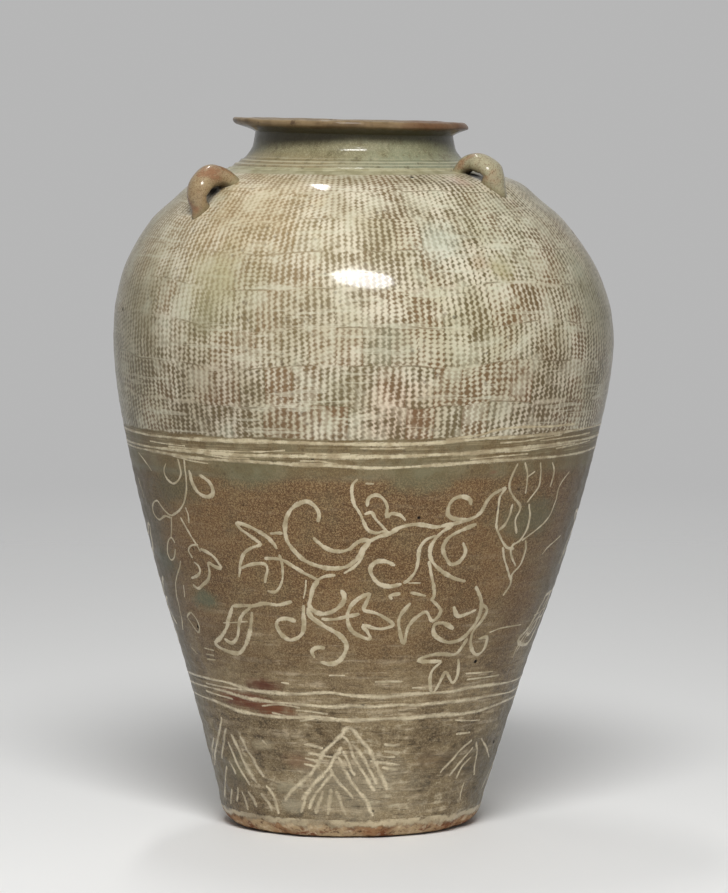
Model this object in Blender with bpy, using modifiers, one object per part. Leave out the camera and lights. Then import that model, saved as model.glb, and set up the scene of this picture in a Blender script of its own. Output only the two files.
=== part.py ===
"""A large thrown stoneware storage jar with four cord loops on its shoulder.

It is an assembly of the pieces that a potter lutes together: a floor disc, two thrown halves of
the body, a turned collar with the neck and lip, and four coil loops. Every piece is turned or
swept about the upright axis first. The whole pot is then settled: its wall leans and its mouth
dips a little, as a large pot does on the wheel and in the kiln.
"""

from dataclasses import dataclass
from math import cos, hypot, pi, radians, sin, tan

import bmesh
import bpy
from mathutils import Vector

# Heights of the turned form, from the ground upwards, in metres
base_thickness = 0.0108
floor_spigot_height = 0.0030
seam_height = 0.1990
belly_height = 0.2590
shoulder_rise = 0.0973
neck_rise = 0.0175
lip_rise = 0.0077

# Radii of the outside
foot_radius = 0.0712
belly_radius = 0.1357
neck_radius = 0.0534

# How far each edge stands out or in
heel_width = 0.0110
collar_flare = 0.0121
lip_overhang = 0.0102

# Walls, edges and joints
body_wall = 0.0075
neck_wall = 0.0054
lip_roundness = 0.0020
lip_hollow = 0.0016
collar_edge = 0.0026
ridge_height = 0.0008
ridge_width = 0.0022
seam_rise = 0.0050
clearance = 0.0003

# The underside
contact_ring_width = 0.0130
base_recess = 0.0018
recess_slope = 0.0050

# The coil loops: how far out from the collar, how long, how high and how thick
loop_standoff = 0.0145
loop_run = 0.0205
loop_rise = 0.0112
coil_radius = 0.0050

# How the fired pot has settled
foot_lean = -0.0072
shoulder_lean = -0.0037
neck_lean = -0.0050
rim_lean = -0.0074
mouth_dip = radians(1.35)
dip_start_drop = 0.0103
lean_bend = 1.3

# The outside in shares: height gained, then radius gained or lost
lower_wall_shares = ((0.133, 0.146), (0.31, 0.343), (0.486, 0.567), (0.662, 0.755), (0.794, 0.876), (0.905, 0.962))
shoulder_shares = ((0.13, 0.006), (0.256, 0.030), (0.468, 0.130), (0.70, 0.340), (0.817, 0.518), (0.913, 0.680))
neck_shares = ((0.12, 0.29), (0.222, 0.504), (0.386, 0.719), (0.55, 0.868), (0.784, 0.945))
ridge_shares = (0.10, 0.36)

# Sizes that follow from those above
collar_height = belly_height + shoulder_rise
neck_top_height = collar_height + neck_rise
jar_height = neck_top_height + lip_rise
shelf_height = collar_height - collar_edge
dip_start_height = collar_height - dip_start_drop
contact_radius = foot_radius - heel_width
collar_radius = neck_radius + collar_flare
rim_radius = neck_radius + lip_overhang
throat_radius = neck_radius - neck_wall

# How finely each form is divided
turns = 64
span_steps = 8
heel_steps = 5
lip_steps = 5
loop_steps = 18
wall_rows = 13


@dataclass
class Loop:
    """One coil loop: its place round the jar, and its own shares of the usual loop's sizes."""

    azimuth: float
    standoff_share: float
    run_share: float
    rise_share: float
    upper_share: float
    crown_share: float
    lower_share: float


loops = {
    "front_left_loop": Loop(radians(-50.5), 1.48, 0.98, 1.04, 1.08, 1.02, 0.90),
    "front_right_loop": Loop(radians(54.0), 0.38, 0.99, 0.93, 0.94, 0.94, 0.84),
    "back_left_loop": Loop(radians(-142.0), 1.03, 1.00, 1.00, 1.04, 1.00, 0.92),
    "back_right_loop": Loop(radians(142.0), 0.90, 1.02, 1.02, 1.00, 0.98, 0.90),
}
loop_dip = 0.55


def clear_scene():
    for old in list(bpy.data.objects):
        bpy.data.objects.remove(old, do_unlink=True)


def new_collection(name):
    made = bpy.data.collections.new(name)
    bpy.context.scene.collection.children.link(made)
    return made


def glaze(name, colour, roughness):
    made = bpy.data.materials.new(name)
    made.use_nodes = True
    shader = made.node_tree.nodes["Principled BSDF"]
    shader.inputs["Base Color"].default_value = (*colour, 1)
    shader.inputs["Roughness"].default_value = roughness
    shader.inputs["Metallic"].default_value = 0
    return made


# Outlines, as points of radius and height


def smooth_through(points, steps):
    """A smooth curve through all the points, with the given steps between neighbours."""
    before = points[0] * 2 - points[1]
    after = points[-1] * 2 - points[-2]
    chain = [before, *points, after]
    curve = []
    for a, b, c, d in zip(chain, chain[1:], chain[2:], chain[3:]):
        reach = (c - b).length
        leave = (c - a) * reach / ((b - a).length + reach)
        arrive = (d - b) * reach / ((d - c).length + reach)
        for step in range(steps):
            t = step / steps
            curve.append(
                b * (2 * t**3 - 3 * t**2 + 1)
                + leave * (t**3 - 2 * t**2 + t)
                + c * (3 * t**2 - 2 * t**3)
                + arrive * (t**3 - t**2)
            )
    return [*curve, points[-1]]


def between(start, end, shares):
    """Points from start to end, each at its own share of the height and of the radius."""
    inner = [Vector((start.x + (end.x - start.x) * out, start.y + (end.y - start.y) * up)) for up, out in shares]
    return [start, *inner, end]


def offset_inward(curve, distance):
    """The curve moved towards the axis and the inside, square to itself."""
    moved = []
    for index, point in enumerate(curve):
        ahead = curve[min(index + 1, len(curve) - 1)] - curve[max(index - 1, 0)]
        normal = Vector((-ahead.y, ahead.x)).normalized()
        moved.append(point + normal * distance)
    return moved


def at_height(curve, height):
    """The point of a rising curve at a height."""
    for low, high in zip(curve, curve[1:]):
        if low.y <= height <= high.y:
            return low.lerp(high, (height - low.y) / (high.y - low.y))
    raise ValueError("the height is off the curve")


def at_radius(curve, radius):
    """The point at a radius on the curve's shoulder, where the radius falls again."""
    for low, high in reversed(list(zip(curve, curve[1:]))):
        if high.x <= radius <= low.x:
            return low.lerp(high, (radius - low.x) / (high.x - low.x))
    raise ValueError("the radius is off the shoulder")


def stretch(curve, start, end, rows):
    """The stretch of a curve from start to end, evenly spaced in rows."""
    path = [start, *[p for p in curve if start.y < p.y < end.y], end]
    lengths = [0.0]
    for a, b in zip(path, path[1:]):
        lengths.append(lengths[-1] + (b - a).length)
    spaced = []
    for row in range(rows + 1):
        goal = lengths[-1] * row / rows
        index = max(1, next((i for i, length in enumerate(lengths) if length >= goal), len(lengths) - 1))
        share = (goal - lengths[index - 1]) / (lengths[index] - lengths[index - 1])
        spaced.append(path[index - 1].lerp(path[index], share))
    return spaced


def body_outline():
    foot = Vector((foot_radius, base_thickness))
    belly = Vector((belly_radius, belly_height))
    collar = Vector((collar_radius, collar_height))
    stations = between(foot, belly, lower_wall_shares) + between(belly, collar, shoulder_shares)[1:]
    return smooth_through(stations, span_steps)


outline = body_outline()
lining = offset_inward(outline, body_wall)
seam_gap = clearance * hypot(seam_rise, body_wall) / body_wall


# The settling of the whole pot


def eased(value, low, high):
    share = min(1, max(0, (value - low) / (high - low)))
    return share * share * (3 - 2 * share)


def settled(point):
    """Where a point of the turned form lies on the fired pot."""
    lean = foot_lean * max(0, 1 - point.z / belly_height) ** lean_bend
    lean += shoulder_lean * eased(point.z, belly_height, dip_start_height)
    lean += (neck_lean - shoulder_lean) * eased(point.z, dip_start_height, collar_height)
    lean += (rim_lean - neck_lean) * eased(point.z, neck_top_height, jar_height)
    dip = tan(mouth_dip) * eased(point.z, dip_start_height, neck_top_height)
    return Vector((point.x + lean, point.y, point.z - point.x * dip))


# Blender objects


def outline_object(name, points, closed):
    mesh = bpy.data.meshes.new(name)
    edges = [(i, i + 1) for i in range(len(points) - 1)]
    if closed:
        edges.append((len(points) - 1, 0))
    mesh.from_pydata([(p.x, 0, p.y) for p in points], edges, [])
    return bpy.data.objects.new(name, mesh)


def turn(name, points, closed, collection):
    """A turned solid: the points run down the outer side, top to bottom."""
    made = outline_object(name, points, closed)
    collection.objects.link(made)
    screw = made.modifiers.new("Turn", "SCREW")
    screw.axis = "Z"
    screw.angle = 2 * pi
    screw.steps = turns
    screw.render_steps = turns
    screw.use_merge_vertices = True
    screw.merge_threshold = clearance / 100
    return made


def baked(source, name, collection):
    """A plain mesh object in place of one with modifiers or of a curve."""
    bpy.context.view_layer.update()
    graph = bpy.context.evaluated_depsgraph_get()
    mesh = bpy.data.meshes.new_from_object(source.evaluated_get(graph))
    mesh.name = name
    made = bpy.data.objects.new(name, mesh)
    made.matrix_world = source.matrix_world
    bpy.data.objects.remove(source, do_unlink=True)
    made.name = name
    collection.objects.link(made)
    return made


def settle(made, material):
    """Leans and dips a finished piece with the pot, then shades and colours it."""
    for vertex in made.data.vertices:
        vertex.co = settled(vertex.co)
    made.data.shade_smooth()
    made.data.set_sharp_from_angle(angle=radians(40))
    made.data.materials.clear()
    made.data.materials.append(material)


# Pieces


def make_base_disc(collection, material):
    """The floor: a spigot inside the wall, a rounded heel, a contact ring and a shallow recess."""
    spigot_radius = foot_radius - body_wall - clearance
    top = base_thickness + floor_spigot_height
    points = [
        Vector((0, top)),
        Vector((spigot_radius, top)),
        Vector((spigot_radius, base_thickness)),
    ]
    for step in range(heel_steps + 1):
        angle = pi / 2 * step / heel_steps
        out = (foot_radius - contact_radius) * cos(angle)
        points.append(Vector((contact_radius + out, base_thickness * (1 - sin(angle)))))
    recess_edge = contact_radius - contact_ring_width
    points.append(Vector((recess_edge, 0)))
    points.append(Vector((recess_edge - recess_slope, base_recess)))
    points.append(Vector((0, base_recess)))
    turned = turn("base_turning", points, False, collection)
    settle(baked(turned, "base_disc", collection), material)


def make_lower_body(collection, material):
    """The lower half: its foot stands on the floor disc, and its top edge slopes up inwards."""
    foot = base_thickness + clearance
    seam_out = at_height(outline, seam_height)
    seam_in = at_height(lining, seam_height + seam_rise)
    foot_out = at_height(outline, foot)
    foot_in = Vector((foot_radius - body_wall, foot))
    outer = stretch(outline, foot_out, seam_out, wall_rows)
    inner = stretch(lining, at_height(lining, foot + body_wall), seam_in, wall_rows)
    turned = turn("lower_turning", [*reversed(outer), foot_in, *inner], True, collection)
    settle(baked(turned, "lower_body", collection), material)


def make_upper_body(collection, material):
    """The upper half: it laps over the lower one, and a rebate round its throat takes the collar."""
    rebate_radius = collar_radius + clearance
    shoulder_edge = at_radius(outline, rebate_radius)
    outer = stretch(outline, at_height(outline, seam_height + seam_gap), shoulder_edge, wall_rows)
    roof = at_radius(lining, rebate_radius)
    inner = stretch(lining, at_height(lining, seam_height + seam_rise + seam_gap), roof, wall_rows)
    throat_low = Vector((throat_radius, roof.y + (shelf_height - roof.y) / 3))
    throat_high = Vector((throat_radius, shelf_height))
    rebate = Vector((rebate_radius, shelf_height))
    points = [rebate, *reversed(outer), *inner, throat_low, throat_high]
    turned = turn("upper_turning", points, True, collection)
    settle(baked(turned, "upper_body", collection), material)


def neck_outline():
    """The outside of the collar, upwards, with two turned ridges above its edge."""
    foot = Vector((collar_radius, collar_height))
    top = Vector((neck_radius, neck_top_height))
    flare = smooth_through(between(foot, top, neck_shares), 2)
    ridged = [foot]
    for share in ridge_shares:
        middle = collar_radius - (collar_radius - neck_radius) * share
        for side, lift in ((ridge_width / 2, 0), (0, ridge_height), (-ridge_width / 2, 0)):
            ridged.append(at_radius(flare, min(middle + side, collar_radius)) + Vector((lift / 2, lift)))
    return ridged + [p for p in flare if p.x < ridged[-1].x]


def make_neck_collar(collection, material):
    """The collar: its foot sits in the rebate of the shoulder, and its lip turns out."""
    bottom = shelf_height + clearance
    lip_centre = Vector((rim_radius - lip_roundness, jar_height - lip_roundness))
    lip = []
    for step in range(lip_steps + 1):
        angle = pi / 2 - radians(165) * step / lip_steps
        lip.append(lip_centre + Vector((cos(angle), sin(angle))) * lip_roundness)
    mouth_edge = Vector(((rim_radius + neck_radius) / 2, jar_height - lip_hollow / 4))
    throat_bend = Vector((throat_radius + neck_wall / 2, jar_height - lip_hollow * 2))
    throat_top = Vector((throat_radius, neck_top_height - neck_wall / 2))
    mouth = smooth_through([Vector((throat_radius, bottom)), throat_top, throat_bend, mouth_edge], 3)
    points = [*lip, *reversed(neck_outline()), Vector((collar_radius, bottom)), *mouth]
    turned = turn("collar_turning", points, True, collection)
    settle(baked(turned, "neck_collar", collection), material)


def loop_path(loop):
    """The centre line of a loop and its thickness, in the upright plane through the axis."""
    upper_radius = collar_radius + loop_standoff * loop.standoff_share
    upper = at_radius(outline, upper_radius)
    lower = at_radius(outline, upper_radius + loop_run * loop.run_share)
    middle = (upper + lower) / 2
    half = upper - middle
    up = Vector((-half.y, half.x)).normalized()
    up = up if up.y > 0 else -up
    path = []
    for step in range(loop_steps + 1):
        angle = -loop_dip + (pi + 2 * loop_dip) * step / loop_steps
        point = middle + half * cos(angle) + up * loop_rise * loop.rise_share * sin(angle)
        foot_share = loop.upper_share if cos(angle) > 0 else loop.lower_share
        coil_share = loop.crown_share + (foot_share - loop.crown_share) * cos(angle) ** 2
        path.append((point, coil_radius * coil_share))
    return path


def coil_solid(name, loop, collection):
    curve = bpy.data.curves.new(name, "CURVE")
    curve.dimensions = "3D"
    curve.bevel_depth = 1
    curve.bevel_resolution = 4
    curve.use_fill_caps = True
    path = loop_path(loop)
    spline = curve.splines.new("POLY")
    spline.points.add(len(path) - 1)
    for point, (place, coil) in zip(spline.points, path):
        along_x = place.x * sin(loop.azimuth)
        along_y = -place.x * cos(loop.azimuth)
        point.co = (along_x, along_y, place.y, 1)
        point.radius = coil
    tube = bpy.data.objects.new(name, curve)
    collection.objects.link(tube)
    made = baked(tube, name, collection)
    shell = bmesh.new()
    shell.from_mesh(made.data)
    bmesh.ops.remove_doubles(shell, verts=shell.verts, dist=clearance / 100)
    bmesh.ops.recalc_face_normals(shell, faces=shell.faces)
    shell.to_mesh(made.data)
    shell.free()
    return made


def shoulder_cutter(collection):
    """The turned form grown by the clearance, which trims the feet of the loops."""
    grown = offset_inward(outline, -clearance)
    skin = stretch(grown, at_height(grown, belly_height), at_radius(grown, collar_radius + clearance), 2 * wall_rows)
    collar_wall = Vector((collar_radius + clearance, jar_height))
    points = [Vector((0, jar_height)), collar_wall, *reversed(skin), Vector((0, belly_height))]
    cutter = turn("shoulder_form", points, False, collection)
    cutter.hide_render = True
    cutter.display_type = "WIRE"
    return cutter


def make_loops(collection, material, cutter):
    for name, loop in loops.items():
        coil = coil_solid(name + "_coil", loop, collection)
        trim = coil.modifiers.new("Trim feet", "BOOLEAN")
        trim.operation = "DIFFERENCE"
        trim.solver = "EXACT"
        trim.object = cutter
        settle(baked(coil, name, collection), material(name))


def main():
    clear_scene()
    jar = new_collection("storage_jar")
    cutters = new_collection("jar_cutters")
    make_base_disc(jar, glaze("bare_clay", (0.20, 0.10, 0.06), 0.75))
    make_lower_body(jar, glaze("brown_glaze", (0.23, 0.18, 0.11), 0.25))
    make_upper_body(jar, glaze("stamped_slip", (0.50, 0.47, 0.36), 0.25))
    make_neck_collar(jar, glaze("green_glaze", (0.26, 0.24, 0.16), 0.22))
    cutter = shoulder_cutter(cutters)
    make_loops(jar, lambda name: glaze(name + "_glaze", (0.32, 0.22, 0.13), 0.22), cutter)


main()
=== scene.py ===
"""The looks of a large slip-decorated stoneware jar with four coil loops on its shoulder.

Sizes are in metres. A place on the wall is an angle round the jar, from the front towards the
right, and a climb, the length of the outline from the foot up to that place.
"""

from math import cos, pi, radians, sin, tan
from types import SimpleNamespace

import bmesh
import bpy
import numpy as np
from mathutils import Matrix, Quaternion, Vector


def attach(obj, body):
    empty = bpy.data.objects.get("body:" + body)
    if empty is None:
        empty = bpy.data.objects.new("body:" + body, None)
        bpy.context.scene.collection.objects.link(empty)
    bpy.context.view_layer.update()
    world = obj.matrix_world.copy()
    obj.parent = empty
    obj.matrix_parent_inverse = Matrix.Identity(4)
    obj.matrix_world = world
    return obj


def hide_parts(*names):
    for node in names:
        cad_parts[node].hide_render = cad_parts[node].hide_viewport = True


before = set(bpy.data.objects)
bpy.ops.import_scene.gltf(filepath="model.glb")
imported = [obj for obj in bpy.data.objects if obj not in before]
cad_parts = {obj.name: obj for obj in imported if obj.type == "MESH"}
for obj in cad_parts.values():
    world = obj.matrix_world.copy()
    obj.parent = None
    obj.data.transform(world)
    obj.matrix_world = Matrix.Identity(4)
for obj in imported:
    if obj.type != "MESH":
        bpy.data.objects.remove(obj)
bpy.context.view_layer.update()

# Heights and radii of the turned form
jar_height = 0.3815
neck_top_height = 0.3738
collar_height = 0.3563
belly_height = 0.2590
seam_height = 0.1990
base_thickness = 0.0108
floor_height = 0.0138
contact_radius = 0.0602
foot_radius = 0.0712
belly_radius = 0.1357
collar_radius = 0.0655
neck_radius = 0.0534
rim_radius = 0.0636
throat_radius = 0.0480
body_wall = 0.0075
lip_roundness = 0.0020
contact_ring_width = 0.0130
base_recess = 0.0018

# How the fired pot leans and dips
foot_lean = -0.0072
shoulder_lean = -0.0037
neck_lean = -0.0050
rim_lean = -0.0074
lean_bend = 1.3
mouth_dip = radians(1.35)
dip_start_height = 0.3460

# The outside in shares: height gained, then radius gained or lost
lower_wall_shares = (
    (0.133, 0.146), (0.31, 0.343), (0.486, 0.567),
    (0.662, 0.755), (0.794, 0.876), (0.905, 0.962),
)
shoulder_shares = (
    (0.13, 0.006), (0.256, 0.030), (0.468, 0.130),
    (0.70, 0.340), (0.817, 0.518), (0.913, 0.680),
)
neck_shares = ((0.12, 0.29), (0.222, 0.504), (0.386, 0.719), (0.55, 0.868), (0.784, 0.945))

# The photographer's view
eye_distance = 2.544
eye_height = 0.4027
eye_pitch = radians(4.46)
lens_pixels = 4700
photo_width = 728
photo_height = 893
axis_pixel = (363.5, 446.5)

# How finely the clay is divided
wall_columns = 384
row_length = 0.0016


# The turned form


def smooth_through(points, steps):
    """A smooth curve through all the points, with the given steps between neighbours."""
    points = [np.array(point, float) for point in points]
    chain = [2 * points[0] - points[1], *points, 2 * points[-1] - points[-2]]
    curve = []
    for a, b, c, d in zip(chain, chain[1:], chain[2:], chain[3:]):
        reach, before, after = (np.linalg.norm(q - p) for p, q in ((b, c), (a, b), (c, d)))
        leave = (c - a) * reach / (before + reach)
        arrive = (d - b) * reach / (after + reach)
        for t in np.arange(steps) / steps:
            curve.append(
                b * (2 * t**3 - 3 * t**2 + 1)
                + leave * (t**3 - 2 * t**2 + t)
                + c * (3 * t**2 - 2 * t**3)
                + arrive * (t**3 - t**2)
            )
    return np.array([*curve, points[-1]])


def between(start, end, shares):
    """Points from start to end, each at its own share of the height and of the radius."""
    rise, out = end[1] - start[1], end[0] - start[0]
    inner = [(start[0] + out * far, start[1] + rise * up) for up, far in shares]
    return [start, *inner, end]


def body_outline():
    """Radii and heights of the body's outside, from the foot up to the collar."""
    foot, belly = (foot_radius, base_thickness), (belly_radius, belly_height)
    collar = (collar_radius, collar_height)
    stations = between(foot, belly, lower_wall_shares) + between(belly, collar, shoulder_shares)[1:]
    return smooth_through(stations, 40)


def climbs_of(curve):
    """The length of a curve up to each of its points."""
    return np.concatenate([[0], np.cumsum(np.linalg.norm(np.diff(curve, axis=0), axis=1))])


def inward(curve, distance):
    """The curve moved towards the inside, square to itself."""
    ahead = np.gradient(curve, axis=0)
    normal = np.stack([-ahead[:, 1], ahead[:, 0]], 1)
    return curve + normal / np.linalg.norm(normal, axis=1)[:, None] * distance


outline = body_outline()
climbs = climbs_of(outline)
top_climb = climbs[-1]


def climb_at(height):
    """The climb at which the outside has a height."""
    return float(np.interp(height, outline[:, 1], climbs))


def eased(value, low, high):
    """A gentle step from 0 to 1 as the value goes from low to high."""
    share = np.clip((value - low) / (high - low), 0, 1)
    return share * share * (3 - 2 * share)


def settled(points):
    """Where points of the turned form lie on the fired pot."""
    x, y, z = points[..., 0], points[..., 1], points[..., 2]
    lean = foot_lean * np.maximum(0, 1 - z / belly_height) ** lean_bend
    lean = lean + shoulder_lean * eased(z, belly_height, dip_start_height)
    lean = lean + (neck_lean - shoulder_lean) * eased(z, dip_start_height, collar_height)
    lean = lean + (rim_lean - neck_lean) * eased(z, neck_top_height, jar_height)
    dip = tan(mouth_dip) * eased(z, dip_start_height, neck_top_height)
    return np.stack([x + lean, y, z - x * dip], -1)


def placed(angle, radius, height):
    """Points of the fired pot at angles round it, from the front towards the right."""
    return settled(np.stack([radius * np.sin(angle), -radius * np.cos(angle), height + 0 * angle], -1))


# The hand's marks on the wall, all of them hollows, so that the wall keeps to its outline

ring_pitch = 0.0082
ring_depth = 0.00016
rings_fade_height = 0.30
dent_depth = 0.00045
groove_depth = 0.00040
groove_width = 0.0006
groove_climbs = (top_climb - 0.0012, top_climb - 0.0034)
foot_lump_depth = 0.00050
foot_lumps_end = 0.085
foot_lumps_fade = 0.03


def hand_marks(angle, climb):
    """How far the thrown wall lies below its outline."""
    turn = climb / ring_pitch + angle / (2 * pi)
    wander = 1.7 * np.sin(climb * 61) + 0.8 * np.sin(climb * 143 + angle)
    rings = ring_depth * (0.5 + 0.5 * np.sin(2 * pi * turn + wander))
    rings = rings * (1 - 0.85 * eased(climb, climb_at(seam_height), climb_at(rings_fade_height)))
    dents = np.sin(2 * angle + climb * 23) + np.sin(3 * angle - climb * 31 + 1.1)
    dents = dents + np.sin(5 * angle + climb * 47 + 2.3)
    lumps = np.sin(13 * angle + climb * 190) + np.sin(17 * angle - climb * 260 + 1)
    lumps = lumps + np.sin(31 * angle + climb * 330 + 2)
    lumps_end = climb_at(foot_lumps_end)
    lumps = foot_lump_depth * (0.5 + lumps / 6) * (1 - eased(climb, lumps_end - foot_lumps_fade, lumps_end))
    joined = eased(climb, 0.0, 0.008) * (1 - eased(climb, top_climb - 0.014, top_climb - 0.002))
    grooves = sum(np.exp(-(((climb - place) / groove_width) ** 2)) for place in groove_climbs)
    return (rings + lumps + dent_depth * (0.5 + dents / 6)) * joined + groove_depth * grooves


def on_wall(angle, climb, proud=0.0):
    """Points on the outside of the body, or proud of it by a small distance."""
    angle, climb = np.broadcast_arrays(np.asarray(angle, float), np.asarray(climb, float))
    radius, height = (np.interp(climb, climbs, outline[:, side]) for side in (0, 1))
    ahead_r, ahead_z = (
        np.interp(climb + row_length, climbs, outline[:, side])
        - np.interp(climb - row_length, climbs, outline[:, side])
        for side in (0, 1)
    )
    length = np.hypot(ahead_r, ahead_z)
    lift = proud - hand_marks(angle, climb)
    return placed(angle, radius + lift * ahead_z / length, height - lift * ahead_r / length)


# From the photograph to the wall

# A first guess at the place under a pixel, from the jar's rough outline in the photograph
belly_middle_pixel = 358
belly_half_pixels = 245
foot_row_pixel = 800
metres_in_pixel = 0.00057
# How much of each miss is made good in one round, and the farthest turn and climb of one round
share_mended = 0.7
farthest_turn = 0.1
farthest_climb = 0.02
steepest_angle = 1.42


def seen(points):
    """Where points fall in the photograph, in its pixels."""
    ahead, up = points[..., 1] + eye_distance, points[..., 2] - eye_height
    depth = ahead * cos(eye_pitch) - up * sin(eye_pitch)
    rise = ahead * sin(eye_pitch) + up * cos(eye_pitch)
    return axis_pixel[0] + lens_pixels * points[..., 0] / depth, axis_pixel[1] - lens_pixels * rise / depth


def wall_places(pixels):
    """The angles and climbs on the wall that lie under pixels of the photograph."""
    pixels = np.array(pixels, float)
    angle = np.arcsin(np.clip((pixels[:, 0] - belly_middle_pixel) / belly_half_pixels, -0.9, 0.9))
    climb = np.clip((foot_row_pixel - pixels[:, 1]) * metres_in_pixel, 0.002, top_climb - 0.01)
    small = 1e-4
    for _ in range(30):
        x, y = seen(on_wall(angle, climb))
        x_turn, y_turn = seen(on_wall(angle + small, climb))
        x_climb, y_climb = seen(on_wall(angle, climb + small))
        a, b, c, d = (x_turn - x) / small, (x_climb - x) / small, (y_turn - y) / small, (y_climb - y) / small
        miss_x, miss_y = pixels[:, 0] - x, pixels[:, 1] - y
        determinant = a * d - b * c
        turn = np.clip((d * miss_x - b * miss_y) / determinant, -farthest_turn, farthest_turn)
        rise = np.clip((a * miss_y - c * miss_x) / determinant, -farthest_climb, farthest_climb)
        angle = np.clip(angle + share_mended * turn, -steepest_angle, steepest_angle)
        climb = np.clip(climb + share_mended * rise, 0.0, top_climb)
    return angle, climb


# Meshes


def mesh_object(name, points, faces, maps):
    """A mesh object at the origin, with a UV map for each list of corner places."""
    mesh = bpy.data.meshes.new(name)
    mesh.from_pydata(points.tolist(), [], faces)
    for map_name, corners in maps.items():
        layer = mesh.uv_layers.new(name=map_name)
        layer.data.foreach_set("uv", np.asarray(corners, np.float32).ravel())
    mesh.shade_smooth()
    mesh.set_sharp_from_angle(angle=radians(50))
    made = bpy.data.objects.new(name, mesh)
    bpy.context.scene.collection.objects.link(made)
    return made


def turned_skin(name, rings, marks, closed, top_pole=None, bottom_pole=None):
    """A skin over rings of points, the rings running down the outside and then up the inside.

    Its map holds the share of a turn and the mark of each corner.
    """
    rows, columns = rings.shape[:2]
    points = rings.reshape(-1, 3)
    levels = np.broadcast_to(np.array(marks, float).reshape(rows, -1), (rows, columns))
    faces, corners = [], []
    around = np.arange(columns)
    beside = (around + 1) % columns
    for row in range(rows if closed else rows - 1):
        below = (row + 1) % rows
        high_corners, low_corners = row * columns, below * columns
        quad = [high_corners + around, low_corners + around, low_corners + beside, high_corners + beside]
        faces.append(np.stack(quad, 1))
        left, right = around / columns, (around + 1) / columns
        high, low = levels[row], levels[below]
        pairs = [left, high, left, low, right, low[beside], right, high[beside]]
        corners.append(np.stack(pairs, 1).reshape(-1, 2))
    faces = np.concatenate(faces).tolist()
    corners = np.concatenate(corners).tolist()
    for pole, row in ((top_pole, 0), (bottom_pole, rows - 1)):
        if pole is None:
            continue
        points = np.concatenate([points, [pole]])
        for column in range(columns):
            ends = [row * columns + column, row * columns + (column + 1) % columns]
            faces.append([len(points) - 1, *(ends if row == 0 else ends[::-1])])
            corners += [(column / columns, levels[row, 0])] * 3
    return mesh_object(name, points, faces, {"around_up": corners})


def face_outwards(mesh):
    """Turns all the faces of a closed mesh outwards."""
    shape = bmesh.new()
    shape.from_mesh(mesh)
    bmesh.ops.recalc_face_normals(shape, faces=shape.faces)
    shape.to_mesh(mesh)
    shape.free()


# The camera, the floor and the lamps


sensor_width = 36


def set_camera():
    """The photographer's eye, straight in front and looking a little down."""
    camera = bpy.data.cameras.new("photographer")
    camera.lens = lens_pixels / photo_height * sensor_width
    camera.sensor_width = sensor_width
    camera.clip_end = 50
    eye = bpy.data.objects.new("photographer", camera)
    eye.location = ((photo_width / 2 - axis_pixel[0]) / lens_pixels * eye_distance, -eye_distance, eye_height)
    eye.rotation_euler = (pi / 2 - eye_pitch, 0, 0)
    bpy.context.scene.collection.objects.link(eye)
    bpy.context.scene.camera = eye


def plain_material(name, colour, roughness):
    """A material of one colour."""
    made = bpy.data.materials.new(name)
    made.use_nodes = True
    shader = made.node_tree.nodes["Principled BSDF"]
    shader.inputs["Base Color"].default_value = (*colour, 1)
    shader.inputs["Roughness"].default_value = roughness
    return made


room_light = 0.10
backdrop_light = 0.47
floor_tone = (0.80, 0.80, 0.79)
# The floor fades away between these distances from the jar
floor_whole_to = 0.4
floor_gone_by = 2.2


def set_floor():
    """A pale floor that fades into the room's own tone far from the jar."""
    half = 6.0
    mesh = bpy.data.meshes.new("floor")
    corners = [(-half, -half, 0), (half, -half, 0), (half, half, 0), (-half, half, 0)]
    mesh.from_pydata(corners, [], [(0, 1, 2, 3)])
    pale = plain_material("pale_floor", floor_tone, 0.75)
    write = Nodes(pale.node_tree)
    place = write.add("TexCoord").outputs["Object"]
    shown = write.smooth(write.distance(place, (0.0, 0.0, 0.0)), floor_gone_by, floor_whole_to)
    write.feed(pale.node_tree.nodes["Principled BSDF"].inputs["Alpha"], shown)
    mesh.materials.append(pale)
    floor = bpy.data.objects.new("floor", mesh)
    bpy.context.scene.collection.objects.link(floor)


def set_lamp(name, place, target, size, watts, roll=0.0, mirrored=True):
    """A soft lamp; one that isn't mirrored lights the glaze with no reflection of itself."""
    light = bpy.data.lights.new(name, "AREA")
    light.shape = "ELLIPSE"
    light.size, light.size_y = size
    light.energy = watts
    lamp = bpy.data.objects.new(name, light)
    lamp.location = place
    towards = Vector(target) - Vector(place)
    lamp.rotation_euler = (towards.to_track_quat("-Z", "Y") @ Quaternion((0, 0, 1), roll)).to_euler()
    lamp.visible_glossy = mirrored
    bpy.context.scene.collection.objects.link(lamp)


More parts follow.
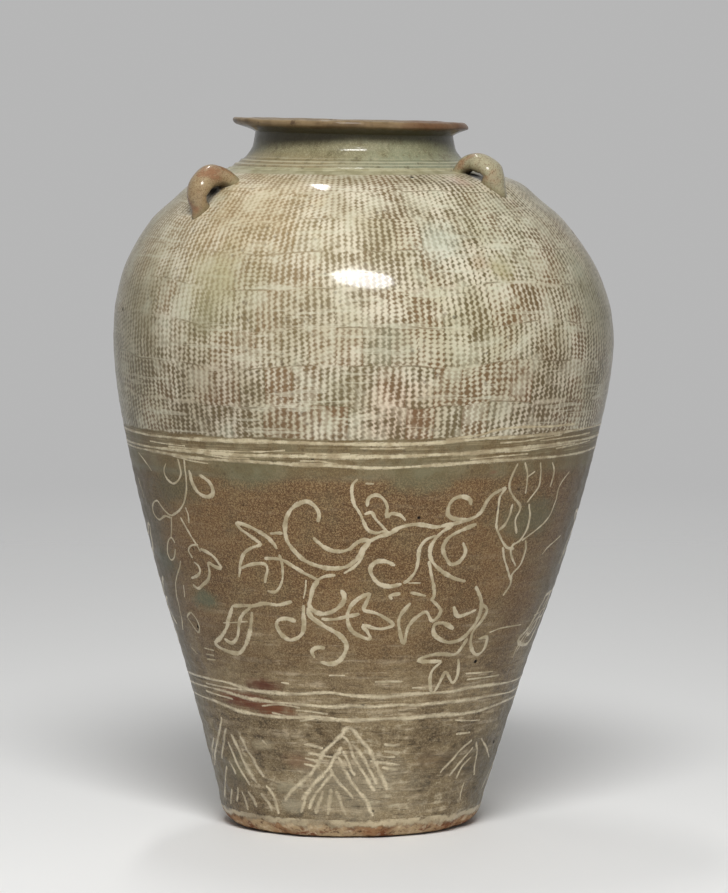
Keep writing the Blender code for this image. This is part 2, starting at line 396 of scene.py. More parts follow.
def set_light():
    """A pale room, one soft lamp in front and above, a small one overhead and three broad dim ones."""
    world = bpy.data.worlds.new("studio")
    world.use_nodes = True
    write = Nodes(world.node_tree)
    background = world.node_tree.nodes["Background"]
    path = write.add("LightPath").outputs
    seen_directly = write.math("MAXIMUM", path["Is Camera Ray"], path["Is Glossy Ray"])
    seen_directly = write.math("MAXIMUM", seen_directly, path["Is Transmission Ray"])
    background.inputs["Color"].default_value = (1, 1, 1, 1)
    write.feed(background.inputs["Strength"], write.lerp(seen_directly, room_light, backdrop_light))
    bpy.context.scene.world = world
    bpy.context.scene.view_settings.view_transform = "Standard"
    softbox_roll, strip_roll = radians(-19), radians(-21)
    set_lamp("front_softbox", (0.03, -1.76, 1.87), (0, 0, 0.24), (1.10, 0.68), watts=58, roll=softbox_roll)
    set_lamp("overhead_lamp", (-0.27, 0.95, 2.2), (0, 0, 0.3), (0.10, 1.1), watts=9, roll=strip_roll)
    middle = (0, 0, 0.2)
    set_lamp("left_fill", (-1.6, -2.6, 1.2), middle, (2.0, 2.0), watts=6, mirrored=False)
    set_lamp("right_fill", (1.6, -2.6, 0.9), middle, (2.0, 2.0), watts=6, mirrored=False)
    set_lamp("back_fill", (0.0, 2.8, 0.9), middle, (2.0, 1.4), watts=20, mirrored=False)


# Writing node trees


class Nodes:
    """A short way to write a node tree."""

    def __init__(self, tree):
        self.tree = tree

    def feed(self, socket, value):
        if isinstance(value, bpy.types.NodeSocket):
            self.tree.links.new(value, socket)
        elif isinstance(value, tuple) and socket.type == "RGBA":
            socket.default_value = (*value, 1)
        elif value is not None:
            socket.default_value = value

    def add(self, kind, inputs=None, **settings):
        node = self.tree.nodes.new("ShaderNode" + kind)
        for name, value in settings.items():
            setattr(node, name, value)
        for name, value in (inputs or {}).items():
            self.feed(node.inputs[name], value)
        return node

    def math(self, operation, *values):
        return self.add("Math", dict(enumerate(values)), operation=operation).outputs[0]

    def plus(self, first, *others):
        for value in others:
            first = self.math("ADD", first, value)
        return first

    def times(self, first, *others):
        for value in others:
            first = self.math("MULTIPLY", first, value)
        return first

    def minus(self, a, b):
        return self.math("SUBTRACT", a, b)

    def swing(self, noise, amount):
        """A noise made to swing either side of nought."""
        return self.times(self.minus(noise, 0.5), amount)

    def smooth(self, value, low, high, to_low=0.0, to_high=1.0):
        """A gentle step from one value to another, as the first value goes from low to high."""
        inputs = {0: value, 1: low, 2: high, 3: to_low, 4: to_high}
        return self.add("MapRange", inputs, interpolation_type="SMOOTHSTEP").outputs[0]

    def mix(self, factor, first, second, blend="MIX"):
        node = self.add("Mix", {0: factor, 6: first, 7: second}, data_type="RGBA", blend_type=blend)
        return node.outputs[2]

    def stain(self, colour, tint, mask, strength=None):
        """Colour with a fired tint laid over it as far as a mask shows it."""
        return self.mix(mask if strength is None else self.times(mask, strength), colour, fired(*tint))

    def wash(self, colour, tint, value, low, high, strength=1.0):
        """Colour with a fired tint laid over it as a value goes from low to high."""
        return self.mix(self.smooth(value, low, high, 0.0, strength), colour, fired(*tint))

    def two_tones(self, first, second, value, low, high):
        """One fired tint giving way to another as a value goes from low to high."""
        return self.mix(self.smooth(value, low, high), fired(*first), fired(*second))

    def lerp(self, factor, first, second):
        return self.add("Mix", {0: factor, 2: first, 3: second}, data_type="FLOAT").outputs[0]

    def vector(self, x=0.0, y=0.0, z=0.0):
        return self.add("CombineXYZ", {0: x, 1: y, 2: z}).outputs[0]

    def parts(self, vector):
        node = self.add("SeparateXYZ", {0: vector})
        return node.outputs[0], node.outputs[1], node.outputs[2]

    def stretched(self, vector, x, y, z):
        return self.add("VectorMath", {0: vector, 1: (x, y, z)}, operation="MULTIPLY").outputs[0]

    def distance(self, vector, centre):
        return self.add("VectorMath", {0: vector, 1: centre}, operation="DISTANCE").outputs["Value"]

    def noise(self, vector, scale, detail=3.0, roughness=0.55, distortion=0.0):
        inputs = {"Vector": vector, "Scale": scale, "Detail": detail}
        inputs |= {"Roughness": roughness, "Distortion": distortion}
        return self.add("TexNoise", inputs).outputs[0]

    def cells(self, vector, scale):
        """The distance to the nearest of many scattered points."""
        return self.add("TexVoronoi", {"Vector": vector, "Scale": scale}).outputs[0]

    def chance(self, vector):
        """Three random numbers, the same all over one cell."""
        node = self.add("TexWhiteNoise", {"Vector": vector}, noise_dimensions="3D")
        split = self.add("SeparateColor", {0: node.outputs["Color"]})
        return split.outputs[0], split.outputs[1], split.outputs[2]

    def group(self, tree, inputs=None):
        node = self.add("Group", node_tree=tree)
        for name, value in (inputs or {}).items():
            self.feed(node.inputs[name], value)
        return node.outputs


def new_group(name, takes, gives):
    """An empty group with its sockets, its inputs and the function that fills its outputs."""
    tree = bpy.data.node_groups.new(name, "ShaderNodeTree")
    kinds = {"float": "NodeSocketFloat", "vector": "NodeSocketVector", "colour": "NodeSocketColor"}
    for socket, kind in takes.items():
        tree.interface.new_socket(socket, in_out="INPUT", socket_type=kinds[kind])
    for socket, kind in gives.items():
        tree.interface.new_socket(socket, in_out="OUTPUT", socket_type=kinds[kind])
    write = Nodes(tree)
    entry = tree.nodes.new("NodeGroupInput")
    exit_node = tree.nodes.new("NodeGroupOutput")

    def give(**values):
        for socket, value in values.items():
            write.feed(exit_node.inputs[socket.replace("_", " ").capitalize()], value)

    return tree, write, entry.outputs, give


# Glazes, slips and clay


def fired(red, green, blue):
    """A colour as a linear one, from its everyday values of 0 to 255."""
    return tuple(((value / 255 + 0.055) / 1.055) ** 2.4 for value in (red, green, blue))


def climb_seen(x, y):
    """The climb of the place on the wall under one pixel of the photograph."""
    return float(wall_places([(x, y)])[1][0])


# Pixels down the middle of the photograph at which the wall changes
middle_column = 363
field_pixels = (175, 438.5)
worn_field_pixels = (320, 425)
faint_field_pixels = (430, 215)
upper_bands_end_pixels = (470, 462)
lower_bands_start_pixels = (686, 696)
lower_bands_end_pixels = (724, 716)
chalky_foot_pixels = (690, 745)
pool_edge_pixel = (250, 477)


def climbs_down_middle(rows):
    return [climb_seen(middle_column, row) for row in rows]


field_top, field_bottom = climbs_down_middle(field_pixels)
pool_bottom = climb_seen(*pool_edge_pixel)

# Heights between which the frieze's brown gives way to the foot's worn glaze
foot_glaze_top = 0.145
foot_glaze_whole = 0.055
# A mark on a skin is its climb outside. Between these two the outside's glaze gives way to the lining's
outside_marks_end = 0.6
lining_marks_start = 0.9

# The stamp: rows of blocks round the jar, and twisted cords side by side in each block
register_length = 0.0205
block_width = 0.0139
smallest_block = 0.88
block_growth = 0.24
columns_in_block = 4
rows_in_register = 8

# Cloudy places in the glaze, and painted shade at the field's left and right edges: pixel, reach in metres,
# colour, strength
glaze_clouds_and_shade = (
    ((250, 205), 0.046, fired(210, 186, 136), 0.55),
    ((215, 300), 0.030, fired(176, 182, 148), 0.55),
    ((350, 250), 0.040, fired(212, 208, 180), 0.35),
    ((500, 225), 0.034, fired(176, 184, 154), 0.50),
    ((470, 330), 0.040, fired(190, 194, 166), 0.45),
    ((395, 412), 0.026, fired(206, 160, 128), 0.45),
    ((460, 181), 0.010, fired(178, 150, 140), 0.60),
    ((210, 405), 0.040, fired(138, 112, 78), 0.50),
    ((540, 390), 0.030, fired(160, 140, 104), 0.40),
    ((345, 405), 0.020, fired(196, 202, 178), 0.35),
    ((585, 300), 0.030, fired(150, 150, 112), 0.45),
    ((440, 246), 0.022, fired(196, 206, 200), 0.50),
    # These two darker clouds at the field's left and right edges are painted shade
    ((135, 330), 0.040, fired(132, 122, 88), 0.65),
    ((600, 330), 0.040, fired(128, 120, 88), 0.60),
    ((545, 405), 0.030, fired(140, 118, 84), 0.40),
    ((545, 225), 0.030, fired(150, 146, 112), 0.50),
)
# Thicker glaze that hides the stamping: pixel, reach, colour, strength
glaze_veils = (
    ((214, 280), 0.020, fired(186, 176, 144), 0.50),
    ((206, 315), 0.012, fired(166, 160, 134), 0.35),
    ((140, 300), 0.030, fired(150, 142, 110), 0.45),
    ((590, 290), 0.030, fired(140, 138, 108), 0.35),
    ((503, 270), 0.010, fired(164, 152, 104), 0.50),
    ((480, 262), 0.008, fired(150, 118, 76), 0.35),
    ((462, 181), 0.008, fired(186, 166, 152), 0.45),
    ((440, 244), 0.015, fired(198, 202, 188), 0.35),
    ((392, 350), 0.016, fired(178, 182, 164), 0.30),
)
# Painted shade in the hollows under the front loops: dark, dull places on the wall
loop_hollow_shade = (
    ((212, 191), 0.0062, (1.0, 1.0, 1.0), 1.0),
    ((475, 175), 0.0060, (1.0, 1.0, 1.0), 1.0),
)
# Coloured stains on the lower wall, and painted shade towards its sides: pixel, reach, colour, strength
wall_stains_and_shade = (
    ((232, 695), 0.0120, fired(94, 50, 28), 1.0),
    ((250, 702), 0.0130, fired(96, 50, 28), 1.0),
    ((276, 708), 0.0130, fired(104, 62, 38), 1.0),
    ((266, 685), 0.0120, fired(86, 48, 30), 1.0),
    ((300, 762), 0.0120, fired(116, 84, 60), 0.60),
    ((430, 760), 0.0140, fired(112, 92, 68), 0.50),
    ((494, 472), 0.0035, fired(120, 48, 30), 0.85),
    ((243, 505), 0.0012, fired(52, 32, 22), 0.90),
    ((272, 508), 0.0011, fired(56, 38, 26), 0.90),
    ((225, 586), 0.0011, fired(60, 36, 24), 0.90),
    ((339, 576), 0.0011, fired(52, 36, 24), 0.90),
    ((269.5, 454), 0.0024, fired(98, 74, 40), 0.85),
    ((206, 600), 0.0140, fired(84, 96, 76), 0.60),
    ((172, 486), 0.0300, fired(76, 82, 62), 0.50),
    ((165, 560), 0.0200, fired(84, 92, 72), 0.50),
    ((250, 470), 0.0260, fired(100, 104, 80), 0.60),
    ((420, 474), 0.0260, fired(108, 108, 82), 0.55),
    # This darker place, towards the frieze's right side, is painted shade
    ((530, 520), 0.0300, fired(98, 98, 74), 0.60),
    ((350, 790), 0.0500, fired(170, 160, 136), 0.35),
    ((324, 798), 0.0100, fired(132, 120, 94), 0.55),
    ((294, 806), 0.0100, fired(168, 160, 136), 0.40),
    ((285, 786), 0.0100, fired(168, 158, 130), 0.50),
    # These two darker places at the foot's left and right edges are painted shade
    ((225, 770), 0.0260, fired(92, 84, 64), 0.45),
    ((470, 760), 0.0300, fired(90, 78, 58), 0.45),
    ((262, 744), 0.0080, fired(168, 156, 128), 0.50),
    ((240, 765), 0.0160, fired(134, 126, 98), 0.35),
)


# In shares of a cloud's reach: how ragged its edge is, where it starts and where it is whole
cloud_raggedness = 1.6
cloud_rim = 1.15
cloud_heart = 0.25


def clouded(write, place, colour, clouds, ragged, flatness=1.0):
    """Colour with each cloud laid over it, its edge broken up by a noise."""
    place = write.stretched(place, 1, 1, flatness)
    for pixel, reach, tint, strength in clouds:
        x, y, z = (float(value) for value in on_wall(*wall_places([pixel]))[0])
        centre = (x, y, z * flatness)
        edge = write.plus(write.distance(place, centre), write.swing(ragged, reach * cloud_raggedness))
        mask = write.smooth(edge, reach * cloud_rim, reach * cloud_heart, 0.0, strength)
        colour = write.mix(mask, colour, tint)
    return colour


def make_grain():
    """Specks, pinholes and the fine grain of stoneware, on places in metres."""
    tree, write, entry, give = new_group(
        "Stoneware grain", {"Place": "vector"}, {"Specks": "float", "Pinholes": "float", "Grain": "float"}
    )
    place = entry["Place"]
    fine = write.noise(place, 1800, 2.0, 0.7)
    coarse = write.noise(place, 900, 2.0, 0.7)
    spots = write.cells(place, 210)
    rare = write.noise(place, 44, 1.0)
    specks = write.times(write.smooth(spots, 0.26, 0.10), write.smooth(rare, 0.44, 0.62))
    holes = write.smooth(write.cells(place, 62), 0.085, 0.045)
    chosen = write.smooth(write.noise(place, 23, 1.0), 0.52, 0.60)
    grain = write.plus(write.times(fine, 0.5), write.times(coarse, 0.5))
    give(specks=specks, pinholes=write.times(holes, chosen), grain=grain)
    return tree


def steps_count(write, register):
    """How many stamped blocks go round the jar in each register, fewer on the narrow shoulder."""
    count = 0
    before = 0
    registers = int((field_top - field_bottom) / register_length) + 1
    for index in range(registers):
        middle = field_top - (index + 0.5) * register_length
        width = block_width * (smallest_block + block_growth * index / registers)
        blocks = round(2 * pi * float(np.interp(middle, climbs, outline[:, 0])) / width)
        if index == 0:
            count = blocks
        else:
            reached = write.math("GREATER_THAN", register, index - 0.5)
            count = write.plus(count, write.times(reached, blocks - before))
        before = blocks
    return count


def make_stamping():
    """The stamped curtain of twisted cords: how dark the clay shows between the slip."""
    tree, write, entry, give = new_group(
        "Stamped cords",
        {"Place": "vector", "Around": "float", "Climb": "float"},
        {"Dark": "float", "Cover": "float", "Warm": "float", "Lift": "float"},
    )
    place = entry["Place"]
    drift = write.noise(place, 13, 2.0)
    slow = write.minus(write.noise(place, 85, 2.0), 0.5)
    shake = write.minus(write.noise(place, 310, 2.0), 0.5)
    down = write.minus(field_top, entry["Climb"])
    down = write.plus(down, write.swing(drift, 0.017))
    turn = write.math("DIVIDE", down, register_length)
    register = write.math("MAXIMUM", write.math("FLOOR", turn), 0)
    through = write.minus(turn, register)
    spread = write.times(entry["Around"], steps_count(write, register))
    block = write.math("FLOOR", spread)
    across = write.minus(spread, block)
    tilt, phase, manner = write.chance(write.vector(block, register, 3.7))
    cover, warm, weight = write.chance(write.vector(block, register, 11.3))

    # Places counted in cords across and twists down, a little off true
    lean = write.times(write.minus(through, 0.5), write.swing(tilt, 0.6))
    column = write.plus(write.times(across, columns_in_block), lean)
    column = write.plus(column, write.plus(write.times(slow, 0.5), write.times(shake, 0.36)))
    column_number = write.math("FLOOR", write.plus(column, 0.5))
    stagger = write.smooth(manner, 0.25, 0.40, 0.12, 0.5)
    staggered = write.times(write.math("PINGPONG", column_number, 1.0), stagger)
    row = write.plus(write.times(through, rows_in_register), write.plus(phase, staggered))
    row = write.plus(row, write.plus(write.times(slow, 1.0), write.times(shake, 0.5)))
    row_number = write.math("FLOOR", write.plus(row, 0.5))
    cell = write.vector(write.plus(column_number, write.times(block, 9.0)), row_number, register)
    dot, _, _ = write.chance(cell)
    cord, _, _ = write.chance(write.vector(column_number, block, register))

    # Bare clay shows as beaded lines between the cords
    twist = write.times(write.math("SINE", write.times(row, 2 * pi)), 0.09)
    columns = write.math("COSINE", write.times(write.plus(column, twist), 2 * pi))
    dots = write.math("COSINE", write.times(row, 2 * pi))
    beads = write.times(dots, write.smooth(weight, 0.0, 1.0, 0.30, 0.75))
    bare = write.plus(write.times(columns, 1.15), beads, write.swing(dot, 0.9), write.swing(cord, 0.5))
    bare = write.plus(bare, write.swing(write.noise(place, 820, 3.0, 0.75), 3.0))
    fill = write.noise(place, 52, 4.0, 0.7)
    bare = write.minus(bare, write.smooth(fill, 0.36, 0.64, -0.45, 0.80))
    bare = write.plus(bare, write.smooth(entry["Climb"], *climbs_down_middle(worn_field_pixels), 0.0, 0.55))
    crisp = write.smooth(write.parts(place)[0], -0.01, 0.05, 1.0, 1.3)
    dark = write.smooth(write.times(bare, crisp), -1.8, 1.7)

    # A film of slip left over it, and the faint edges of the blocks
    film = write.plus(write.times(cover, 0.10), write.times(write.noise(place, 70, 3.0, 0.65), 0.95))
    film = write.smooth(film, 0.50, 0.72)
    wiped = write.noise(write.stretched(place, 20, 20, 300), 1.0, 3.0, 0.6)
    film = write.math("MAXIMUM", film, write.smooth(wiped, 0.56, 0.66))
    edge = write.minus(0.5, write.math("ABSOLUTE", write.minus(through, 0.5)))
    broken = write.noise(place, 48, 3.0, 0.7)
    frayed = write.plus(edge, write.swing(write.noise(place, 420, 2.0, 0.7), 0.05))
    seam = write.times(write.smooth(frayed, 0.038, 0.010), write.smooth(broken, 0.46, 0.58))
    gap = write.times(write.smooth(edge, 0.080, 0.020), write.smooth(broken, 0.50, 0.42))
    shown = write.times(dark, write.smooth(film, 0.0, 1.0, 1.0, 0.5))
    shown = write.times(shown, write.minus(1.0, write.times(gap, 0.65)))
    shown = write.math("MAXIMUM", shown, write.times(seam, 0.75))
    give(dark=shown, cover=film, warm=warm, lift=write.minus(1.0, write.times(dark, 0.8)))
    return tree


def wall_noises(write, place):
    """The noises that the wall's colours share, from broad clouds to fine brushing."""
    return SimpleNamespace(
        broad=write.noise(place, 15, 3.0, 0.6),
        patch=write.noise(place, 38, 3.0, 0.6),
        ragged=write.noise(place, 75, 3.0, 0.65),
        small=write.noise(place, 150, 3.0, 0.65),
        brushed=write.noise(write.stretched(place, 30, 30, 360), 1.0, 4.0, 0.65),
    )


def stamped_field(write, place, climb, noises, stamps, flank_shade):
    """The colour of the stamped field, and a mask of the painted shade under the loops."""
    cream = write.two_tones((206, 198, 178), (225, 217, 201), noises.patch, 0.40, 0.62)
    cream = write.wash(cream, (216, 213, 196), stamps["Cover"], 0.2, 1.0, 0.6)
    brown = write.two_tones((114, 100, 72), (126, 98, 70), stamps["Warm"], 0.35, 0.95)
    brown = write.wash(brown, (102, 90, 64), noises.broad, 0.42, 0.62, 0.7)
    left_share = write.smooth(write.parts(place)[0], 0.030, -0.045, 0.08, 0.72)
    faint = write.times(write.smooth(climb, *climbs_down_middle(faint_field_pixels)), left_share)
    brown = write.stain(brown, (164, 148, 118), faint)
    field = write.mix(stamps["Dark"], cream, brown)
    field = clouded(write, place, field, glaze_veils, noises.ragged)
    tinted = clouded(write, place, fired(188, 183, 162), glaze_clouds_and_shade, noises.ragged)
    field = write.mix(0.42, field, tinted, "MULTIPLY")
    field = write.mix(0.30, field, tinted, "SOFT_LIGHT")
    milky = write.smooth(write.noise(place, 26, 4.0, 0.7), 0.55, 0.72, 0.0, 0.35)
    field = write.stain(field, (196, 198, 176), milky)
    # Painted shade of the flanks, laid over the stamped field
    field = write.stain(field, (112, 106, 78), flank_shade, 0.44)
    # Painted shade under the front loops, nearly black
    hollow_shade = clouded(write, place, (0.0, 0.0, 0.0), loop_hollow_shade, noises.ragged)
    return write.stain(field, (30, 24, 16), hollow_shade), hollow_shade


def brown_ground(write, place, climb, noises, grains, flank_shade, lower):
    """The colour of the frieze and the foot, with masks of the slip left on them and of the scratches."""
    grain_mask = grains["Grain"]
    frieze = write.two_tones((94, 68, 42), (115, 87, 56), noises.broad, 0.38, 0.64)
    frieze = write.wash(frieze, (106, 94, 68), noises.patch, 0.45, 0.72, 0.5)
    frieze = write.wash(frieze, (148, 126, 90), grain_mask, 0.48, 0.61, 0.74)
    frieze = write.wash(frieze, (64, 46, 30), grain_mask, 0.46, 0.34, 0.76)
    frieze = write.wash(frieze, (84, 66, 44), noises.small, 0.56, 0.70, 0.4)
    foot = write.two_tones((98, 82, 58), (128, 112, 84), noises.patch, 0.38, 0.62)
    foot = write.wash(foot, (168, 150, 118), grain_mask, 0.47, 0.62, 0.5)
    foot = write.wash(foot, (86, 68, 46), grain_mask, 0.46, 0.34, 0.5)
    ground = write.mix(lower, frieze, foot)

    # Slip left in the brush marks, and scratches down to the clay
    streak = write.smooth(noises.brushed, 0.50, 0.66)
    streak = write.times(streak, write.smooth(noises.small, 0.40, 0.56, 0.3, 1.0))
    kept_low = write.times(lower, write.smooth(noises.patch, 0.40, 0.60, 0.15, 0.60))
    residue = write.times(streak, write.plus(kept_low, 0.08))
    ground = write.stain(ground, (190, 175, 148), residue)
    scratch = write.noise(write.stretched(place, 60, 60, 420), 1.0, 3.0, 0.7, 0.4)
    scratch = write.times(write.smooth(scratch, 0.43, 0.31), write.plus(write.times(lower, 0.7), 0.2))
    ground = write.stain(ground, (84, 68, 48), scratch, 0.6)

    # Chalky and dark places of the foot, the stains and the painted shade of the flanks
    mottled = write.noise(write.stretched(place, 1, 1, 1.6), 190, 4.0, 0.75)
    chalky_where = write.smooth(noises.patch, 0.44, 0.60, 0.08, 0.65)
    chalky_low = write.smooth(climb, *climbs_down_middle(chalky_foot_pixels), 0.25, 1.0)
    chalky = write.times(write.smooth(mottled, 0.50, 0.68), chalky_where, chalky_low)
    stained_where = write.smooth(noises.patch, 0.58, 0.42, 0.25, 0.90)
    stained = write.times(write.smooth(mottled, 0.49, 0.35), stained_where)
    ground = write.stain(ground, (200, 188, 160), lower, chalky)
    ground = write.stain(ground, (66, 54, 38), lower, stained)
    ground = clouded(write, place, ground, wall_stains_and_shade, noises.ragged, 2.2)
    # Painted shade of the flanks, laid over the frieze and the foot
    shady = write.mix(lower, fired(60, 60, 44), fired(80, 74, 54))
    return write.mix(write.times(flank_shade, 0.68), ground, shady), residue, scratch


def pooled_bands(write, place, level, noises, ground):
    """The ground with the greenish glaze that pooled between the band lines, and with wisps of slip."""
    pooled = write.smooth(level, pool_bottom - 0.004, pool_bottom + 0.003)
    pooled = write.times(pooled, write.smooth(level, field_top, field_bottom))
    pool = write.two_tones((104, 92, 64), (118, 112, 86), noises.ragged, 0.4, 0.6)
    ground = write.mix(write.times(pooled, 0.6), ground, pool)
    rim = write.smooth(write.math("ABSOLUTE", write.minus(level, pool_bottom)), 0.0026, 0.0004)
    ground = write.stain(ground, (120, 124, 104), rim, write.smooth(noises.broad, 0.42, 0.58, 0.0, 0.22))
    wisps = write.noise(write.stretched(place, 26, 26, 900), 1.0, 3.0, 0.6)
    wisps = write.times(write.smooth(wisps, 0.48, 0.64), write.smooth(noises.small, 0.36, 0.56, 0.2, 0.8))
    upper = write.times(write.smooth(level, *climbs_down_middle(upper_bands_end_pixels)), 0.5)
    low_end = write.smooth(level, *climbs_down_middle(lower_bands_end_pixels))
    low_start = write.smooth(level, *climbs_down_middle(lower_bands_start_pixels))
    banded = write.math("MAXIMUM", upper, write.times(low_end, low_start, 0.3))
    return write.stain(ground, (176, 160, 126), wisps, banded)


def make_wall_ground(stamping, grain):
    """The glaze of the body, from the stamped shoulder down to the foot, and of its lining."""
    tree, write, entry, give = new_group(
        "Glazed wall",
        {"Place": "vector", "Around": "float", "Climb": "float"},
        {"Colour": "colour", "Roughness": "float", "Height": "float", "Gloss": "float"},
    )
    place, climb = entry["Place"], entry["Climb"]
    noises = wall_noises(write, place)
    grains = write.group(grain, {"Place": place})
    stamps = write.group(stamping, {"Place": place, "Around": entry["Around"], "Climb": climb})
    level = write.plus(climb, write.swing(noises.patch, 0.0045))
    lower = write.smooth(climb, climb_at(foot_glaze_top), climb_at(foot_glaze_whole))

    # Painted shade on the flanks: the wall is darkened, with an olive tone, towards its left and right sides
    flank_shade = write.math("ABSOLUTE", write.minus(entry["Around"], 0.5))
    flank_shade = write.plus(flank_shade, write.swing(noises.broad, 0.10))
    flank_shade = write.times(write.smooth(flank_shade, 0.145, 0.225), write.smooth(flank_shade, 0.36, 0.27))

    # The stamped field above, the brown ground below, and plain glaze over the ridges at the top
    field, hollow_shade = stamped_field(write, place, climb, noises, stamps, flank_shade)
    ground, residue, scratch = brown_ground(write, place, climb, noises, grains, flank_shade, lower)
    ground = pooled_bands(write, place, level, noises, ground)
    outside = write.smooth(level, lining_marks_start, outside_marks_end)
    in_field = write.times(write.smooth(level, field_bottom - 0.0012, field_bottom), outside)
    colour = write.mix(in_field, ground, field)
    plain = write.smooth(climb, field_top - 0.0006, field_top + 0.0008)
    plain_glaze = write.two_tones((150, 144, 112), (170, 164, 134), noises.small, 0.4, 0.6)
    colour = write.mix(plain, colour, plain_glaze)

    # The thin glaze of the lining, then specks and pinholes over everything
    washed = write.two_tones((116, 96, 66), (98, 84, 60), noises.broad, 0.40, 0.62)
    washed = write.wash(washed, (136, 120, 90), noises.brushed, 0.46, 0.66, 0.5)
    colour = write.mix(write.smooth(climb, outside_marks_end, lining_marks_start), colour, washed)
    colour = write.stain(colour, (70, 54, 38), grains["Specks"], 0.42)
    colour = write.stain(colour, (24, 18, 12), grains["Pinholes"])

    rough = write.smooth(noises.small, 0.3, 0.7, 0.40, 0.58)
    rough = write.plus(rough, write.times(grains["Pinholes"], 0.3), write.times(hollow_shade, 0.5))
    raised = write.times(stamps["Lift"], in_field, write.minus(1.0, plain))
    height = write.plus(write.times(raised, 0.30), write.times(grains["Grain"], 0.45))
    height = write.minus(height, write.times(grains["Pinholes"], 2.2))
    scraped = write.noise(write.stretched(place, 60, 60, 240), 1.0, 3.0, 0.6)
    lumpy = write.noise(place, 95, 3.0, 0.6)
    height = write.plus(
        height,
        write.times(residue, 0.25),
        write.times(scraped, write.times(lower, 4.6)),
        write.times(lumpy, write.times(lower, 6.0)),
    )
    height = write.minus(height, write.times(scratch, 1.6))
    gloss = write.times(write.minus(1.0, grains["Pinholes"]), write.smooth(in_field, 0.0, 1.0, 0.40, 1.0))
    # The painted shade under the loops also takes the glaze's gloss away there
    gloss = write.times(gloss, write.minus(1.0, hollow_shade))
    give(colour=colour, roughness=rough, height=height, gloss=gloss)
    return tree


glaze_ior = 1.5
clay_specular = 0.12
glaze_thickness = 0.52


def glazed(name, paint, coat_roughness, bump_metres):
    """A glazed material: paint(write) returns the colour, roughness, height and gloss."""
    made = bpy.data.materials.new(name)
    made.use_nodes = True
    write = Nodes(made.node_tree)
    shader = made.node_tree.nodes["Principled BSDF"]
    shader.inputs["IOR"].default_value = glaze_ior
    shader.inputs["Specular IOR Level"].default_value = clay_specular
    shader.inputs["Coat Roughness"].default_value = coat_roughness
    shader.inputs["Coat IOR"].default_value = glaze_ior
    colour, rough, height, gloss = paint(write)
    write.feed(shader.inputs["Base Color"], colour)
    write.feed(shader.inputs["Roughness"], rough)
    write.feed(shader.inputs["Coat Weight"], write.times(gloss, glaze_thickness))
    bump = write.add("Bump", {"Height": height, "Distance": bump_metres, "Strength": 1.0})
    write.feed(shader.inputs["Normal"], bump.outputs[0])
    return made


def place_and_map(write):
    """The place on the jar in metres, and the share of a turn and the mark that the skin carries."""
    place = write.add("TexCoord").outputs["Object"]
    around, climb, _ = write.parts(write.add("UVMap", uv_map="around_up").outputs[0])
    return place, around, climb


def wall_glaze(name, ground):
    """The glaze of both halves of the body."""

    def paint(write):
        place, around, climb = place_and_map(write)
        wall = write.group(ground, {"Place": place, "Around": around, "Climb": climb})
        return wall["Colour"], wall["Roughness"], wall["Height"], wall["Gloss"]

    return glazed(name, paint, coat_roughness=0.10, bump_metres=0.00022)


def slip_inlay(name, ground, pale, dull, wear, brushiness, softness):
    """Slip rubbed into cut lines: pale in the middle of a stroke, worn away to the wall at its edges."""

    def paint(write):
        place, around, climb = place_and_map(write)
        wall = write.group(ground, {"Place": place, "Around": around, "Climb": climb})
        along, across, _ = write.parts(write.add("UVMap", uv_map="stroke").outputs[0])
        edge = write.math("ABSOLUTE", across)
        broken = write.noise(place, 780, 3.0, 0.7)
        worn = write.noise(place, 130, 2.0)
        combed = write.vector(write.times(along, 150), write.times(across, 2.6))
        hairs = write.noise(combed, 1.0, 3.0, 0.65)
        reach = write.plus(edge, write.swing(broken, 1.3))
        reach = write.plus(reach, write.swing(hairs, brushiness))
        body = write.smooth(reach, 1.05, 0.80 - softness)
        kept = write.smooth(write.plus(worn, write.times(broken, 0.35)), wear, wear + 0.16, 0.45, 1.0)
        tint = write.mix(write.smooth(worn, 0.40, 0.60), dull, pale)
        tint = write.wash(tint, (140, 124, 96), broken, 0.52, 0.72, 0.45)
        colour = write.mix(write.times(body, kept), wall["Colour"], tint)
        height = write.plus(wall["Height"], write.times(body, 0.2))
        return colour, write.plus(wall["Roughness"], 0.05), height, 1.0

    return glazed(name, paint, coat_roughness=0.09, bump_metres=0.00022)


# Where the lines turned into the neck lie, and how far apart they are
turned_lines_end = 0.0058
turned_lines_fade = 0.0020
turned_line_pitch = 0.0017
# Where the lip's rusty edge begins, and where the throat does
lip_starts = 0.0222
throat_starts = 0.0345


